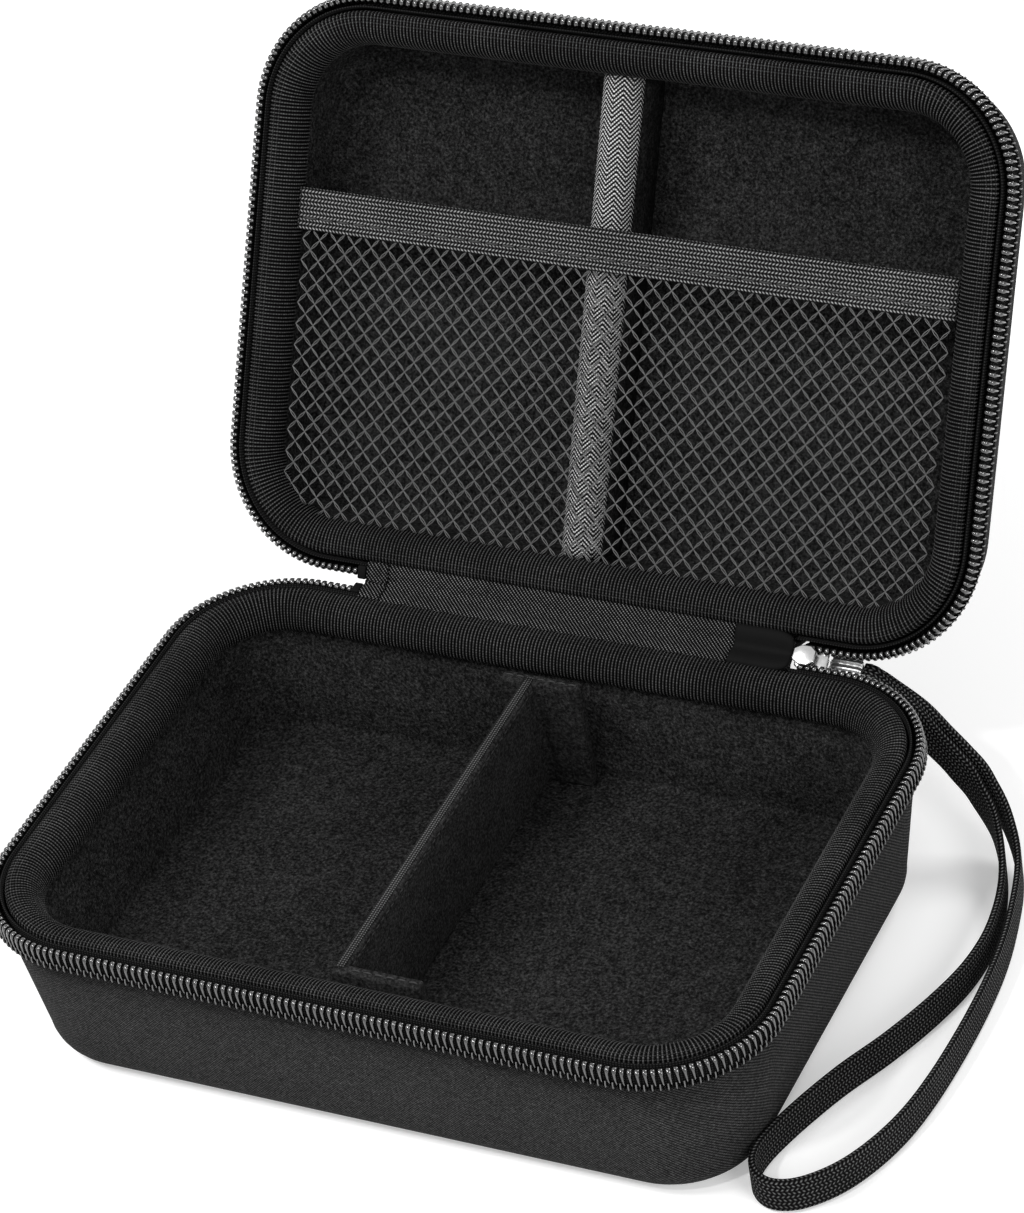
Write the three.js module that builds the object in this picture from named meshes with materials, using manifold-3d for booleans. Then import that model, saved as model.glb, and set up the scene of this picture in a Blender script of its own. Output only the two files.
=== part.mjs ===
// Hard-shell trading card case: a zippered clamshell with a removable divider in the base,
// a net pocket and a padded partition in the lid, and a woven wrist strap on the zipper pull.
// Millimetres, +Z up, +X along the long side, hinge at the back (+Y), underside on Z = 0.
// The case is shown open, with the lid leaning back.
import * as THREE from "three";
import Module from "manifold-3d";
import { mergeVertices } from "three/addons/utils/BufferGeometryUtils.js";

const wasm = await Module();
wasm.setup();

// Outline of each half, to the outer face of the zipper coil
const caseWidth = 172;
const caseDepth = 124;
const cornerRadius = 26;
const cornerSteps = 7;

// Shells
const baseHeight = 40;
const baseDraft = 5;
const baseFloorRadius = 7;
const lidHeight = 26;
const lidDraft = 2;
const lidFloorRadius = 11;
const floorSteps = 3;
const fabricThickness = 0.8;
const foamThickness = 4;
const baseFloorFoam = 7;
const lidFloorFoam = 2.5;
const liningThickness = 0.8;
const layerGap = 0.3;

// Zipper along the rim
const coilWidth = 2.4;
const coilHeight = 4.4;
const coilChamfer = 0.7;
const coilDrop = 0.2;
const coilStandout = 1.6;
const tapeThickness = 0.5;
const tapeHeight = 8.5;
const stopLength = 2;
const stopOverhang = 0.2;

// Ribbed binding rolled over the rim
const bindingSeam = 0.6;
const bindingWidth = 7;
const bindingHeight = 3.2;
const bindingWrap = 4;
const bindingWrapThickness = 2.2;

// Fabric hinge
const hingeGap = 0.4;
const openAngle = THREE.MathUtils.degToRad(120);
const webbingStart = -48;
const webbingLength = 83.3;
const webbingThickness = 1;
const endTabLength = 13;
const spineThickness = 0.8;
const spineHeight = 10.5;

// Lid partition and net pocket
const partitionPlace = -4.6;
const partitionWidth = 8.5;
const partitionDrop = 5.6;
const partitionCoverThickness = 0.9;
const partitionArcSteps = 8;
const partitionFoot = 0.2;
const pocketDrop = 3.9;
const elasticPlace = 10;
const elasticWidth = 9;
const elasticThickness = 1.1;
const netThickness = 0.8;
const netBorder = 1.6;
const netStrand = 1.1;
const netCellWidth = 8;
const netCellHeight = 9;
const netCornerSteps = 6;

// Removable divider in the base
const dividerPlace = -4.5;
const dividerThickness = 3;
const dividerDrop = 4;
const dividerLift = 0.4;
const dividerCoverThickness = 0.5;
const flangeBackReach = 10;
const flangeFrontReach = 16.5;
const hookThickness = 0.9;
const hookHeight = 14;
const hookWidth = 11;
const hookFoot = 3;

// Slider, pull and strap
const sliderLength = 7;
const sliderWidth = 6.4;
const sliderPlate = 0.9;
const sliderThickness = 3;
const sliderPost = 2.2;
const sliderNose = 3.6;
const sliderTravel = 6.5;
const bailWidth = 2;
const bailLength = 3.4;
const bailBar = 0.9;
const bailRise = 3.2;
const linkBar = 1;
const linkLength = 4.1;
const linkWidth = 4.4;
const crimpLength = 7.2;
const crimpWidth = 6.6;
const crimpThickness = 3.6;
const crimpRibs = 4;
const crimpRibDepth = 0.35;
const strapWidth = 8;
const strapEndWidth = 5.6;
const strapThickness = 1.6;
const strapSteps = 78;
const strapTwistLength = 22;
const strapChamfer = 0.4;

const runningGap = 0.5;
const cutOverrun = 2;

// Values that follow from the sizes above
const baseShape = {
  height: baseHeight,
  draft: baseDraft,
  floorRadius: baseFloorRadius,
  floorRise: baseFloorFoam - foamThickness,
  hingeSide: 1,
};
const lidShape = {
  height: lidHeight,
  draft: lidDraft,
  floorRadius: lidFloorRadius,
  floorRise: lidFloorFoam - foamThickness,
  hingeSide: -1,
};
const halfWidth = caseWidth / 2;
const halfDepth = caseDepth / 2;
const cornerX = halfWidth - cornerRadius;
const cornerY = halfDepth - cornerRadius;
const foamOffset = fabricThickness + layerGap;
const liningOffset = foamOffset + foamThickness + layerGap;
const innerOffset = liningOffset + liningThickness;
const innerInset = coilStandout + innerOffset;
const tapeInset = coilWidth + layerGap;
const tapeDepth = coilDrop + layerGap + tapeHeight;
const rimSeamInset = tapeInset + tapeThickness + bindingSeam;
const bindingFoot = -bindingHeight - bindingWrap;
const bindingInnerInset = innerInset + layerGap + wallLean(bindingFoot, lidShape) + bindingWrapThickness;
const clearInset = bindingInnerInset + layerGap;
const dividerEndInset = Math.max(clearInset, innerInset + baseDraft + layerGap);
const sliderStart = webbingStart + webbingLength + layerGap + endTabLength + runningGap;
const coilStartX = sliderStart + sliderLength + sliderTravel + runningGap;
const coilStartAngle = Math.asin(Math.max(coilStartX - cornerX, 0) / cornerRadius);
const coilEndX = webbingStart - layerGap - stopLength - layerGap;
const axisY = halfDepth + hingeGap;
const axisZ = baseHeight + hingeGap;

// Colours and finishes
const materials = {
  shell: { color: 0x2b2b2d, roughness: 0.85, metalness: 0 },
  foam: { color: 0x1c1c1e, roughness: 0.95, metalness: 0 },
  lining: { color: 0x131315, roughness: 0.98, metalness: 0 },
  binding: { color: 0x18181a, roughness: 0.8, metalness: 0 },
  tape: { color: 0x161618, roughness: 0.85, metalness: 0 },
  coil: { color: 0x0c0c0d, roughness: 0.3, metalness: 0 },
  webbing: { color: 0x1d1d1f, roughness: 0.8, metalness: 0 },
  endTab: { color: 0x1a1a1b, roughness: 0.6, metalness: 0 },
  net: { color: 0x101011, roughness: 0.7, metalness: 0 },
  elastic: { color: 0x232325, roughness: 0.85, metalness: 0 },
  divider: { color: 0x1b1b1d, roughness: 0.9, metalness: 0 },
  board: { color: 0x6e6a62, roughness: 0.9, metalness: 0 },
  metal: { color: 0xc9c9cb, roughness: 0.25, metalness: 1 },
  strap: { color: 0x1e1e20, roughness: 0.75, metalness: 0 },
};

function makeMesh(name, geometry, finish) {
  const mesh = new THREE.Mesh(geometry, new THREE.MeshStandardMaterial(materials[finish]));
  mesh.name = name;
  return mesh;
}

// Joins a run of loops with the same number of points into one closed body.
// A closed run meets itself; an open run gets a flat cap at each end.
function loft(loops, closed) {
  const count = loops[0].length;
  const positions = loops.flat().flatMap((point) => [point.x, point.y, point.z]);
  const triangles = [];
  const bands = closed ? loops.length : loops.length - 1;
  for (let band = 0; band < bands; band += 1) {
    const near = band * count;
    const far = ((band + 1) % loops.length) * count;
    for (let step = 0; step < count; step += 1) {
      const next = (step + 1) % count;
      triangles.push([near + step, near + next, far + next]);
      triangles.push([near + step, far + next, far + step]);
    }
  }
  if (!closed) {
    const last = (loops.length - 1) * count;
    for (let step = 1; step < count - 1; step += 1) {
      triangles.push([0, step + 1, step]);
      triangles.push([last, last + step, last + step + 1]);
    }
  }
  return outward(positions, triangles);
}

// Makes a geometry whose faces point out, whichever way round the loops were given.
function outward(positions, triangles) {
  const corner = (index) => new THREE.Vector3().fromArray(positions, index * 3);
  let volume = 0;
  for (const [a, b, c] of triangles) {
    volume += corner(a).dot(corner(b).cross(corner(c)));
  }
  const index = triangles.flatMap(([a, b, c]) => (volume < 0 ? [a, c, b] : [a, b, c]));
  const geometry = new THREE.BufferGeometry();
  geometry.setAttribute("position", new THREE.Float32BufferAttribute(positions, 3));
  geometry.setIndex(index);
  geometry.computeVertexNormals();
  return geometry;
}

function toSolid(geometry) {
  const bare = geometry.clone();
  bare.deleteAttribute("normal");
  bare.deleteAttribute("uv");
  const merged = mergeVertices(bare);
  const vertProperties = new Float32Array(merged.attributes.position.array);
  const triVerts = new Uint32Array(merged.index.array);
  return new wasm.Manifold(new wasm.Mesh({ numProp: 3, vertProperties, triVerts }));
}

function toGeometry(solid) {
  const mesh = solid.getMesh();
  const geometry = new THREE.BufferGeometry();
  geometry.setAttribute("position", new THREE.BufferAttribute(new Float32Array(mesh.vertProperties), 3));
  geometry.setIndex(new THREE.BufferAttribute(new Uint32Array(mesh.triVerts), 1));
  geometry.computeVertexNormals();
  return geometry;
}

// A box between two corners.
function boxBetween(low, high) {
  const size = high.map((value, axis) => value - low[axis]);
  const box = new THREE.BoxGeometry(...size);
  box.translate(...high.map((value, axis) => (value + low[axis]) / 2));
  return box;
}

// A sample of the rim holds the centre of its corner and the outward direction there,
// so a point at any inset from the outline is found from it.
function cornerSamples(centreX, centreY, from, to) {
  const samples = [];
  for (let step = 0; step <= cornerSteps; step += 1) {
    const angle = THREE.MathUtils.lerp(from, to, step / cornerSteps);
    samples.push({ centreX, centreY, outX: Math.cos(angle), outY: Math.sin(angle) });
  }
  return samples;
}

const quarter = Math.PI / 2;
const wholeRim = [
  ...cornerSamples(cornerX, cornerY, quarter, 0),
  ...cornerSamples(cornerX, -cornerY, 0, -quarter),
  ...cornerSamples(-cornerX, -cornerY, -quarter, -2 * quarter),
  ...cornerSamples(-cornerX, cornerY, 2 * quarter, quarter),
];

// The zipper's run: from past the slider, round the sides and front, to the hinge's far end.
const zipperRun = [
  ...cornerSamples(cornerX, cornerY, quarter - coilStartAngle, 0),
  ...cornerSamples(cornerX, -cornerY, 0, -quarter),
  ...cornerSamples(-cornerX, -cornerY, -quarter, -2 * quarter),
  ...cornerSamples(-cornerX, cornerY, 2 * quarter, quarter),
  { centreX: coilEndX, centreY: cornerY, outX: 0, outY: 1 },
];

// hingeSide is 1 where the hinge is at +Y, as in the base, and -1 where it is at -Y, as in the lid.
function rimPoint(sample, inset, height, hingeSide) {
  const reach = cornerRadius - inset;
  const x = sample.centreX + reach * sample.outX;
  const y = sample.centreY + reach * sample.outY;
  return new THREE.Vector3(x, y * hingeSide, height);
}

// A profile of [inset, height] pairs swept round the whole rim, or along the zipper's run.
function sweepRim(profile, hingeSide, samples, closed) {
  const loops = samples.map((sample) => profile.map(([inset, height]) => rimPoint(sample, inset, height, hingeSide)));
  return loft(loops, closed);
}

// Rings of one inset and height each, stacked into a tray or a plug.
function stackRings(profile, hingeSide) {
  const loops = profile.map(([inset, height]) => wholeRim.map((sample) => rimPoint(sample, inset, height, hingeSide)));
  return loft(loops, false);
}

// How far the wall has leaned in at a height, from nothing at the rim's plane.
function wallLean(height, shape) {
  return (shape.draft * height) / (shape.floorRadius - shape.height);
}

// One face of a shell, from its rim down to the flat of its floor, at an offset inside the outer face.
// Heights are measured from the rim's plane, and rise lifts the floor of the face alone.
function wallFace(offset, shape, top, rise = 0) {
  const wallFoot = shape.floorRadius - shape.height + rise;
  const face = [[coilStandout + offset + wallLean(top, shape), top]];
  const radius = shape.floorRadius - offset;
  for (let step = 0; step <= floorSteps; step += 1) {
    const angle = (quarter * step) / floorSteps;
    const inset = coilStandout + shape.draft + shape.floorRadius - radius * Math.cos(angle);
    face.push([inset, wallFoot - radius * Math.sin(angle)]);
  }
  return face;
}

function fabricSkin(shape) {
  const top = -(coilDrop + coilHeight + layerGap);
  const outer = wallFace(0, shape, top).reverse();
  return stackRings([...outer, ...wallFace(fabricThickness, shape, top)], shape.hingeSide);
}

// The foam shell is rebated at its rim, where the zipper tape is sewn on.
function foamShell(shape) {
  const rebate = -(tapeDepth + layerGap);
  const top = -bindingHeight - layerGap;
  const outer = wallFace(foamOffset, shape, rebate).reverse();
  const inner = wallFace(foamOffset + foamThickness, shape, top, shape.floorRise);
  const rim = [rebate, top].map((height) => [rimSeamInset + wallLean(height, shape), height]);
  return stackRings([...outer, ...rim, ...inner], shape.hingeSide);
}

function liningSkin(shape) {
  const top = -bindingHeight - layerGap;
  const outer = wallFace(liningOffset, shape, top, shape.floorRise).reverse();
  const inner = wallFace(innerOffset, shape, top, shape.floorRise);
  return stackRings([...outer, ...inner], shape.hingeSide);
}

// The room inside a shell, a little clear of its lining, used to trim what stands in it.
function shellRoom(shape) {
  const face = wallFace(innerOffset + layerGap, shape, cutOverrun, shape.floorRise);
  return stackRings(face, shape.hingeSide);
}

// The binding rolls over the rim from the seam and hangs down inside the lining.
function rimBinding(shape) {
  const rollShares = [
    [0, 0.7],
    [0.14, 0.94],
    [0.37, 1],
    [0.65, 0.8],
    [0.9, 0.3],
  ];
  const roll = rollShares.map(([across, up]) => {
    const inset = rimSeamInset + across * bindingWidth;
    return [inset, (up - 1) * bindingHeight];
  });
  const wrapOuter = innerInset + layerGap + wallLean(bindingFoot, shape);
  const wrapShares = [
    [1, 0.35],
    [0.9, 0.85],
    [0.5, 1],
  ];
  const wrap = wrapShares.map(([across, down]) => {
    const inset = THREE.MathUtils.lerp(wrapOuter, bindingInnerInset, across);
    return [inset, -bindingHeight - down * bindingWrap];
  });
  const back = [
    [wrapOuter, bindingFoot],
    [wrapOuter, -bindingHeight],
    [rimSeamInset, -bindingHeight],
  ];
  return sweepRim([...roll, ...wrap, ...back], shape.hingeSide, wholeRim, true);
}

function zipperTape(shape) {
  const top = -(coilDrop + layerGap);
  const topInset = tapeInset + wallLean(top, shape);
  const footInset = tapeInset + wallLean(-tapeDepth, shape);
  const profile = [
    [topInset, top],
    [topInset + tapeThickness, top],
    [footInset + tapeThickness, -tapeDepth],
    [footInset, -tapeDepth],
  ];
  return sweepRim(profile, shape.hingeSide, zipperRun, false);
}

function zipperCoil(hingeSide) {
  const top = -coilDrop;
  const foot = top - coilHeight;
  const profile = [
    [coilChamfer, top],
    [coilWidth, top],
    [coilWidth, foot],
    [coilChamfer, foot],
    [0, foot + coilChamfer],
    [0, top - coilChamfer],
  ];
  return sweepRim(profile, hingeSide, zipperRun, false);
}

// Pieces on the hinge side are straight, so a section of [inset, height] is run along X.
function alongHinge(section, from, to, hingeSide) {
  const loop = (x) => section.map(([inset, height]) => new THREE.Vector3(x, (halfDepth - inset) * hingeSide, height));
  return loft([loop(from), loop(to)], false);
}

function rectangle(insetLow, insetHigh, low, high) {
  return [
    [insetLow, low],
    [insetHigh, low],
    [insetHigh, high],
    [insetLow, high],
  ];
}

function zipperStop(hingeSide) {
  const top = -coilDrop + layerGap / 2;
  const section = rectangle(0, coilWidth + stopOverhang, top - coilHeight - stopOverhang, top);
  const from = coilEndX + layerGap;
  return alongHinge(section, from, from + stopLength, hingeSide);
}

// Each half of the hinge webbing lies on its rim, from the binding's seam to the fold.
const foldInset = layerGap - hingeGap;
const webbingInset = rimSeamInset - layerGap;

function hingeWebbing(hingeSide) {
  const section = rectangle(foldInset, webbingInset, -layerGap - webbingThickness, -layerGap);
  return alongHinge(section, webbingStart, webbingStart + webbingLength, hingeSide);
}

function hingeEndTab(hingeSide) {
  const section = rectangle(foldInset, webbingInset, -layerGap - webbingThickness, -layerGap);
  const from = webbingStart + webbingLength + layerGap;
  return alongHinge(section, from, from + endTabLength, hingeSide);
}

// The outer strip of the hinge runs down the wall and turns in under the webbing, in two flat pieces.
function hingeSpine(shape) {
  const top = -(layerGap + webbingThickness + layerGap);
  const foot = top - spineHeight;
  const lean = wallLean(foot, shape);
  const outer = coilStandout - layerGap - spineThickness;
  const to = webbingStart + webbingLength + endTabLength;
  const wall = [
    [outer, top],
    [outer + spineThickness, top],
    [outer + spineThickness + lean, foot],
    [outer + lean, foot],
  ];
  const turn = rectangle(foldInset, outer + spineThickness, top - spineThickness, top);
  const down = toSolid(alongHinge(wall, webbingStart, to, shape.hingeSide));
  const across = toSolid(alongHinge(turn, webbingStart, to, shape.hingeSide));
  return toGeometry(down.add(across));
}

// The shell and zipper pieces that the base and the lid both have.
function shellPieces(prefix, shape) {
  const side = shape.hingeSide;
  return [
    makeMesh(prefix + "_outer_fabric", fabricSkin(shape), "shell"),
    makeMesh(prefix + "_foam_shell", foamShell(shape), "foam"),
    makeMesh(prefix + "_lining", liningSkin(shape), "lining"),
    makeMesh(prefix + "_rim_binding", rimBinding(shape), "binding"),
    makeMesh(prefix + "_zipper_tape", zipperTape(shape), "tape"),
    makeMesh(prefix + "_zipper_coil", zipperCoil(side), "coil"),
    makeMesh(prefix + "_zipper_stop", zipperStop(side), "coil"),
    makeMesh("hinge_webbing_" + prefix, hingeWebbing(side), "webbing"),
    makeMesh("hinge_end_tab_" + prefix, hingeEndTab(side), "endTab"),
    makeMesh("hinge_spine_" + prefix, hingeSpine(shape), "shell"),
  ];
}

// A bar with a round top, standing on the lid's floor and running across the lid.
function roundTopBar(width, top, reach) {
  const radius = width / 2;
  const shape = new THREE.Shape();
  shape.moveTo(-radius, -lidHeight);
  shape.lineTo(radius, -lidHeight);
  shape.lineTo(radius, top - radius);
  shape.absarc(0, top - radius, radius, 0, Math.PI, false);
  shape.closePath();
  const settings = { depth: reach * 2, bevelEnabled: false, curveSegments: partitionArcSteps };
  const bar = new THREE.ExtrudeGeometry(shape, settings);
  bar.translate(0, 0, -reach);
  bar.rotateX(quarter);
  bar.translate(partitionPlace, 0, 0);
  return toSolid(bar);
}

function lidPartition() {
  const reach = halfDepth - clearInset;
  const foot = innerOffset + lidShape.floorRise - lidHeight + layerGap + partitionFoot;
  const coreTop = -partitionDrop - partitionCoverThickness - layerGap;
  const coreWidth = partitionWidth - 2 * (partitionCoverThickness + layerGap);
  const holeTop = coreTop + layerGap;
  const holeWidth = coreWidth + 2 * layerGap;
  const room = toSolid(shellRoom(lidShape));
  const far = [halfWidth, halfDepth];
  const below = toSolid(boxBetween([-far[0], -far[1], -2 * lidHeight], [far[0], far[1], foot]));
  const cover = roundTopBar(partitionWidth, -partitionDrop, reach)
    .subtract(roundTopBar(holeWidth, holeTop, halfDepth))
    .intersect(room)
    .subtract(below);
  const core = roundTopBar(coreWidth, coreTop, reach).intersect(room).subtract(below);
  return [
    makeMesh("partition_cover", toGeometry(cover), "webbing"),
    makeMesh("partition_core", toGeometry(core), "foam"),
  ];
}

// The outline of the pocket: square corners under the elastic band, round ones at the hinge end.
function pocketOutline(inset, top) {
  const sideX = halfWidth - inset;
  const foot = inset - halfDepth;
  const radius = cornerRadius - inset;
  const shape = new THREE.Shape();
  shape.moveTo(-sideX, top);
  shape.lineTo(-sideX, foot + radius);
  shape.absarc(radius - sideX, foot + radius, radius, Math.PI, 3 * quarter, false);
  shape.absarc(sideX - radius, foot + radius, radius, 3 * quarter, 4 * quarter, false);
  shape.lineTo(sideX, top);
  shape.closePath();
  return shape;
}

function insidePocket(x, y, top) {
  const inset = clearInset + netBorder;
  const radius = cornerRadius - inset;
  const overX = Math.max(Math.abs(x) - (halfWidth - inset - radius), 0);
  const overY = Math.max(inset - halfDepth + radius - y, 0);
  return Math.hypot(overX, overY) <= radius && y <= top - netBorder;
}

// The net is a thin sheet with staggered diamond gaps between its strands.
function pocketNet() {
  const top = elasticPlace - layerGap;
  const shape = pocketOutline(clearInset, top);
  const gapX = (netCellWidth - netStrand) / 2;
  const gapY = (netCellHeight - netStrand) / 2;
  const rows = Math.floor((4 * halfDepth) / netCellHeight);
  const columns = Math.floor(caseWidth / netCellWidth / 2) + 1;
  for (let row = 0; row <= rows; row += 1) {
    const y = top - netBorder - gapY - (row * netCellHeight) / 2;
    for (let column = -columns; column <= columns; column += 1) {
      const x = (column + (row % 2) / 2) * netCellWidth;
      const corners = [
        [x + gapX, y],
        [x, y + gapY],
        [x - gapX, y],
        [x, y - gapY],
      ];
      if (corners.every((corner) => insidePocket(...corner, top))) {
        shape.holes.push(new THREE.Path(corners.map((corner) => new THREE.Vector2(...corner))));
      }
    }
  }
  const settings = { depth: netThickness, bevelEnabled: false, curveSegments: netCornerSteps };
  const net = new THREE.ExtrudeGeometry(shape, settings);
  net.translate(0, 0, -pocketDrop - netThickness);
  return makeMesh("pocket_net", net, "net");
}

function pocketElastic() {
  const sideX = halfWidth - clearInset;
  const low = [-sideX, elasticPlace, -pocketDrop - elasticThickness];
  const high = [sideX, elasticPlace + elasticWidth, -pocketDrop];
  return makeMesh("pocket_elastic", boxBetween(low, high), "elastic");
}

// The divider's plan is a thin panel with a flange at each end, given here as boxes grown by a margin.
function dividerBody(margin, low, high) {
  const half = dividerThickness / 2 - margin;
  const endY = halfDepth - dividerEndInset - hookThickness - layerGap;
  const flangeY = endY - dividerThickness;
  const panel = boxBetween(
    [dividerPlace - half, -endY + margin, low],
    [dividerPlace + half, endY - margin, high],
  );
  const back = boxBetween(
    [dividerPlace - half - flangeBackReach / 2, flangeY + margin, low],
    [dividerPlace + half + flangeBackReach, endY - margin, high],
  );
  const front = boxBetween(
    [dividerPlace - half, -endY + margin, low],
    [dividerPlace + half + flangeFrontReach - 2 * margin, -flangeY - margin, high],
  );
  return toSolid(panel).add(toSolid(back)).add(toSolid(front));
}

function dividerPieces() {
  const top = -dividerDrop;
  const floor = innerOffset + baseShape.floorRise - baseHeight;
  const foot = floor + dividerLift;
  const room = toSolid(shellRoom(baseShape));
  const skin = dividerCoverThickness;
  const cover = dividerBody(0, foot, top)
    .subtract(dividerBody(skin, foot - cutOverrun, top - skin))
    .intersect(room);
  const board = dividerBody(skin + layerGap, foot, top - skin - layerGap).intersect(room);
  const endY = halfDepth - dividerEndInset;
  const hookLow = foot + hookFoot;
  const hook = (centreX, side) => {
    const nearY = side * (endY - hookThickness);
    const farY = side * endY;
    const low = [centreX - hookWidth / 2, Math.min(nearY, farY), hookLow];
    const high = [centreX + hookWidth / 2, Math.max(nearY, farY), hookLow + hookHeight];
    return boxBetween(low, high);
  };
  const backX = dividerPlace + flangeBackReach / 4;
  const frontX = dividerPlace + flangeFrontReach / 2;
  return [
    makeMesh("divider_cover", toGeometry(cover), "divider"),
    makeMesh("divider_board", toGeometry(board), "board"),
    makeMesh("divider_hook_back", hook(backX, 1), "divider"),
    makeMesh("divider_hook_front", hook(frontX, -1), "divider"),
  ];
}

// The slider is made with its length along X, its width along Y and its inner plate facing up,
// centred on the hinge line, and is then turned to face half way between the two rims.
function sliderPlateSolid(low) {
  const half = sliderWidth / 2;
  const nose = sliderNose / 2;
  const shape = new THREE.Shape();
  shape.moveTo(0, -nose);
  shape.lineTo(sliderLength / 3, -half);
  shape.lineTo(sliderLength - nose, -half);
  shape.lineTo(sliderLength, -nose);
  shape.lineTo(sliderLength, nose);
  shape.lineTo(sliderLength - nose, half);
  shape.lineTo(sliderLength / 3, half);
  shape.lineTo(0, nose);
  shape.closePath();
  const plate = new THREE.ExtrudeGeometry(shape, { depth: sliderPlate, bevelEnabled: false });
  plate.translate(sliderStart, 0, low);
  return toSolid(plate);
}

// The bail is an arch on the outer plate that the pull's link hangs on.
const bailX = sliderStart + bailLength / 2;
const sliderOuter = -sliderThickness / 2;

function sliderBody() {
  const post = boxBetween(
    [sliderStart, -sliderPost / 2, sliderOuter],
    [sliderStart + sliderLength / 2, sliderPost / 2, -sliderOuter],
  );
  const bailLow = sliderOuter - bailRise;
  const arch = boxBetween(
    [sliderStart, -bailWidth / 2, bailLow],
    [sliderStart + bailLength, bailWidth / 2, sliderOuter + sliderPlate / 2],
  );
  const hole = boxBetween(
    [sliderStart + bailBar, -bailWidth, bailLow + bailBar],
    [sliderStart + bailLength - bailBar, bailWidth, sliderOuter - runningGap / 2],
  );
  const solid = sliderPlateSolid(sliderOuter)
    .add(sliderPlateSolid(-sliderOuter - sliderPlate))
    .add(toSolid(post))
    .add(toSolid(arch).subtract(toSolid(hole)));
  return makeMesh("slider_body", toGeometry(solid), "metal");
}

// The pull: a flat link through the bail, and the ribbed crimp that clamps the strap's two ends.
const pullAxisZ = sliderOuter - bailRise + bailBar + runningGap + linkBar / 2;
const crimpTop = sliderOuter - bailRise - runningGap / 2;
const crimpStart = bailX + linkLength;
const crimpEnd = crimpStart + crimpLength;
const crimpMiddle = crimpTop - crimpThickness / 2;

function pullLink() {
  const half = linkWidth / 2;
  const barLow = pullAxisZ - linkBar / 2;
  const outer = boxBetween(
    [bailX - linkBar / 2, -half, barLow],
    [crimpStart - layerGap, half, barLow + linkBar],
  );
  const window = boxBetween(
    [bailX + linkBar / 2, linkBar - half, barLow - cutOverrun],
    [crimpStart - layerGap - linkBar, half - linkBar, barLow + linkBar + cutOverrun],
  );
  const tongue = boxBetween(
    [crimpStart - layerGap - linkBar, -half, crimpMiddle - linkBar / 2],
    [crimpStart - layerGap, half, barLow + linkBar / 2],
  );
  const solid = toSolid(outer).subtract(toSolid(window)).add(toSolid(tongue));
  return makeMesh("pull_link", toGeometry(solid), "metal");
}

function strapCrimp() {
  const half = crimpWidth / 2;
  const body = boxBetween([crimpStart, -half, crimpTop - crimpThickness], [crimpEnd, half, crimpTop]);
  let solid = toSolid(body);
  const pitch = crimpWidth / (crimpRibs + 1);
  for (let rib = 0; rib <= crimpRibs; rib += 1) {
    const middle = -half + (rib + 1 / 2) * pitch;
    for (const face of [crimpTop, crimpTop - crimpThickness]) {
      const groove = boxBetween(
        [crimpStart + pitch, middle - pitch / 4, face - crimpRibDepth],
        [crimpEnd - pitch / 2, middle + pitch / 4, face + crimpRibDepth],
      );
      solid = solid.subtract(toSolid(groove));
    }
  }
  return makeMesh("strap_crimp", toGeometry(solid), "metal");
}

// Places a mesh made round the hinge line, facing half way between the rims.
const sliderTilt = (Math.PI - openAngle) / 2;

function onHingeLine(mesh) {
  mesh.rotation.x = sliderTilt;
  mesh.position.set(0, axisY, axisZ);
  return mesh;
}

// The strap's middle line: out of the crimp, down behind the corner, forward on the floor,
// round the loop and back again. Points are chosen by hand.
const strapRoute = [
  [62.7, 66.3, 33.7],
  [65, 66.6, 33.3],
  [70, 66.7, 29],
  [77, 65.8, 24],
  [84, 64, 19],
  [89.5, 62, 14],
  [95.5, 57, 8.5],
  [100.5, 48, 5.2],
  [104, 34, 4.5],
  [106, 20, 4.5],
  [106.5, 3, 4.5],
  [105.5, -16, 4.5],
  [103, -30, 4.5],
  [98, -42, 4.5],
  [91.5, -49.5, 4.5],
  [85.5, -51.5, 4.5],
  [81, -48.5, 4.5],
  [79.8, -42.5, 4.5],
  [82, -33, 4.5],
  [87, -19.5, 4.5],
  [93, -7, 4.5],
  [98, 6, 4.5],
  [101, 18, 4.5],
  [101.3, 30, 4.5],
  [98.7, 43.5, 5.2],
  [93.5, 54.8, 8.5],
  [87.5, 60, 14],
  [82.5, 62, 19],
  [76, 63.7, 24],
  [69.5, 64.6, 29.5],
  [65, 65.1, 35],
  [62.7, 65.3, 35.4],
];

// At the crimp the strap is gathered and lies flat on the pull; it widens and twists upright
// as it leaves, and lies on its edge.
function wristStrap() {
  const points = strapRoute.map((point) => new THREE.Vector3(...point));
  const route = new THREE.CatmullRomCurve3(points, false, "centripetal");
  const line = route.getSpacedPoints(strapSteps);
  const twistSteps = (strapSteps * strapTwistLength) / route.getLength();
  const thick = strapThickness / 2;
  const section = (wide) => [
    [-thick, strapChamfer - wide],
    [strapChamfer - thick, -wide],
    [thick - strapChamfer, -wide],
    [thick, strapChamfer - wide],
    [thick, wide - strapChamfer],
    [thick - strapChamfer, wide],
    [strapChamfer - thick, wide],
    [-thick, wide - strapChamfer],
  ];
  const flat = new THREE.Vector3(0, Math.cos(sliderTilt), Math.sin(sliderTilt));
  const upright = new THREE.Vector3(0, 0, 1);
  const loops = line.map((point, step) => {
    const along = route.getTangentAt(step / strapSteps);
    const turned = THREE.MathUtils.smoothstep(Math.min(step, strapSteps - step), 0, twistSteps);
    const rough = flat.clone().lerp(upright, turned);
    const across = new THREE.Vector3().crossVectors(rough, along).normalize();
    const up = new THREE.Vector3().crossVectors(along, across).normalize();
    const width = THREE.MathUtils.lerp(strapEndWidth, strapWidth, turned);
    return section(width / 2).map(([side, rise]) => {
      return point.clone().addScaledVector(across, side).addScaledVector(up, rise);
    });
  });
  return makeMesh("wrist_strap", loft(loops, false), "strap");
}

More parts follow.
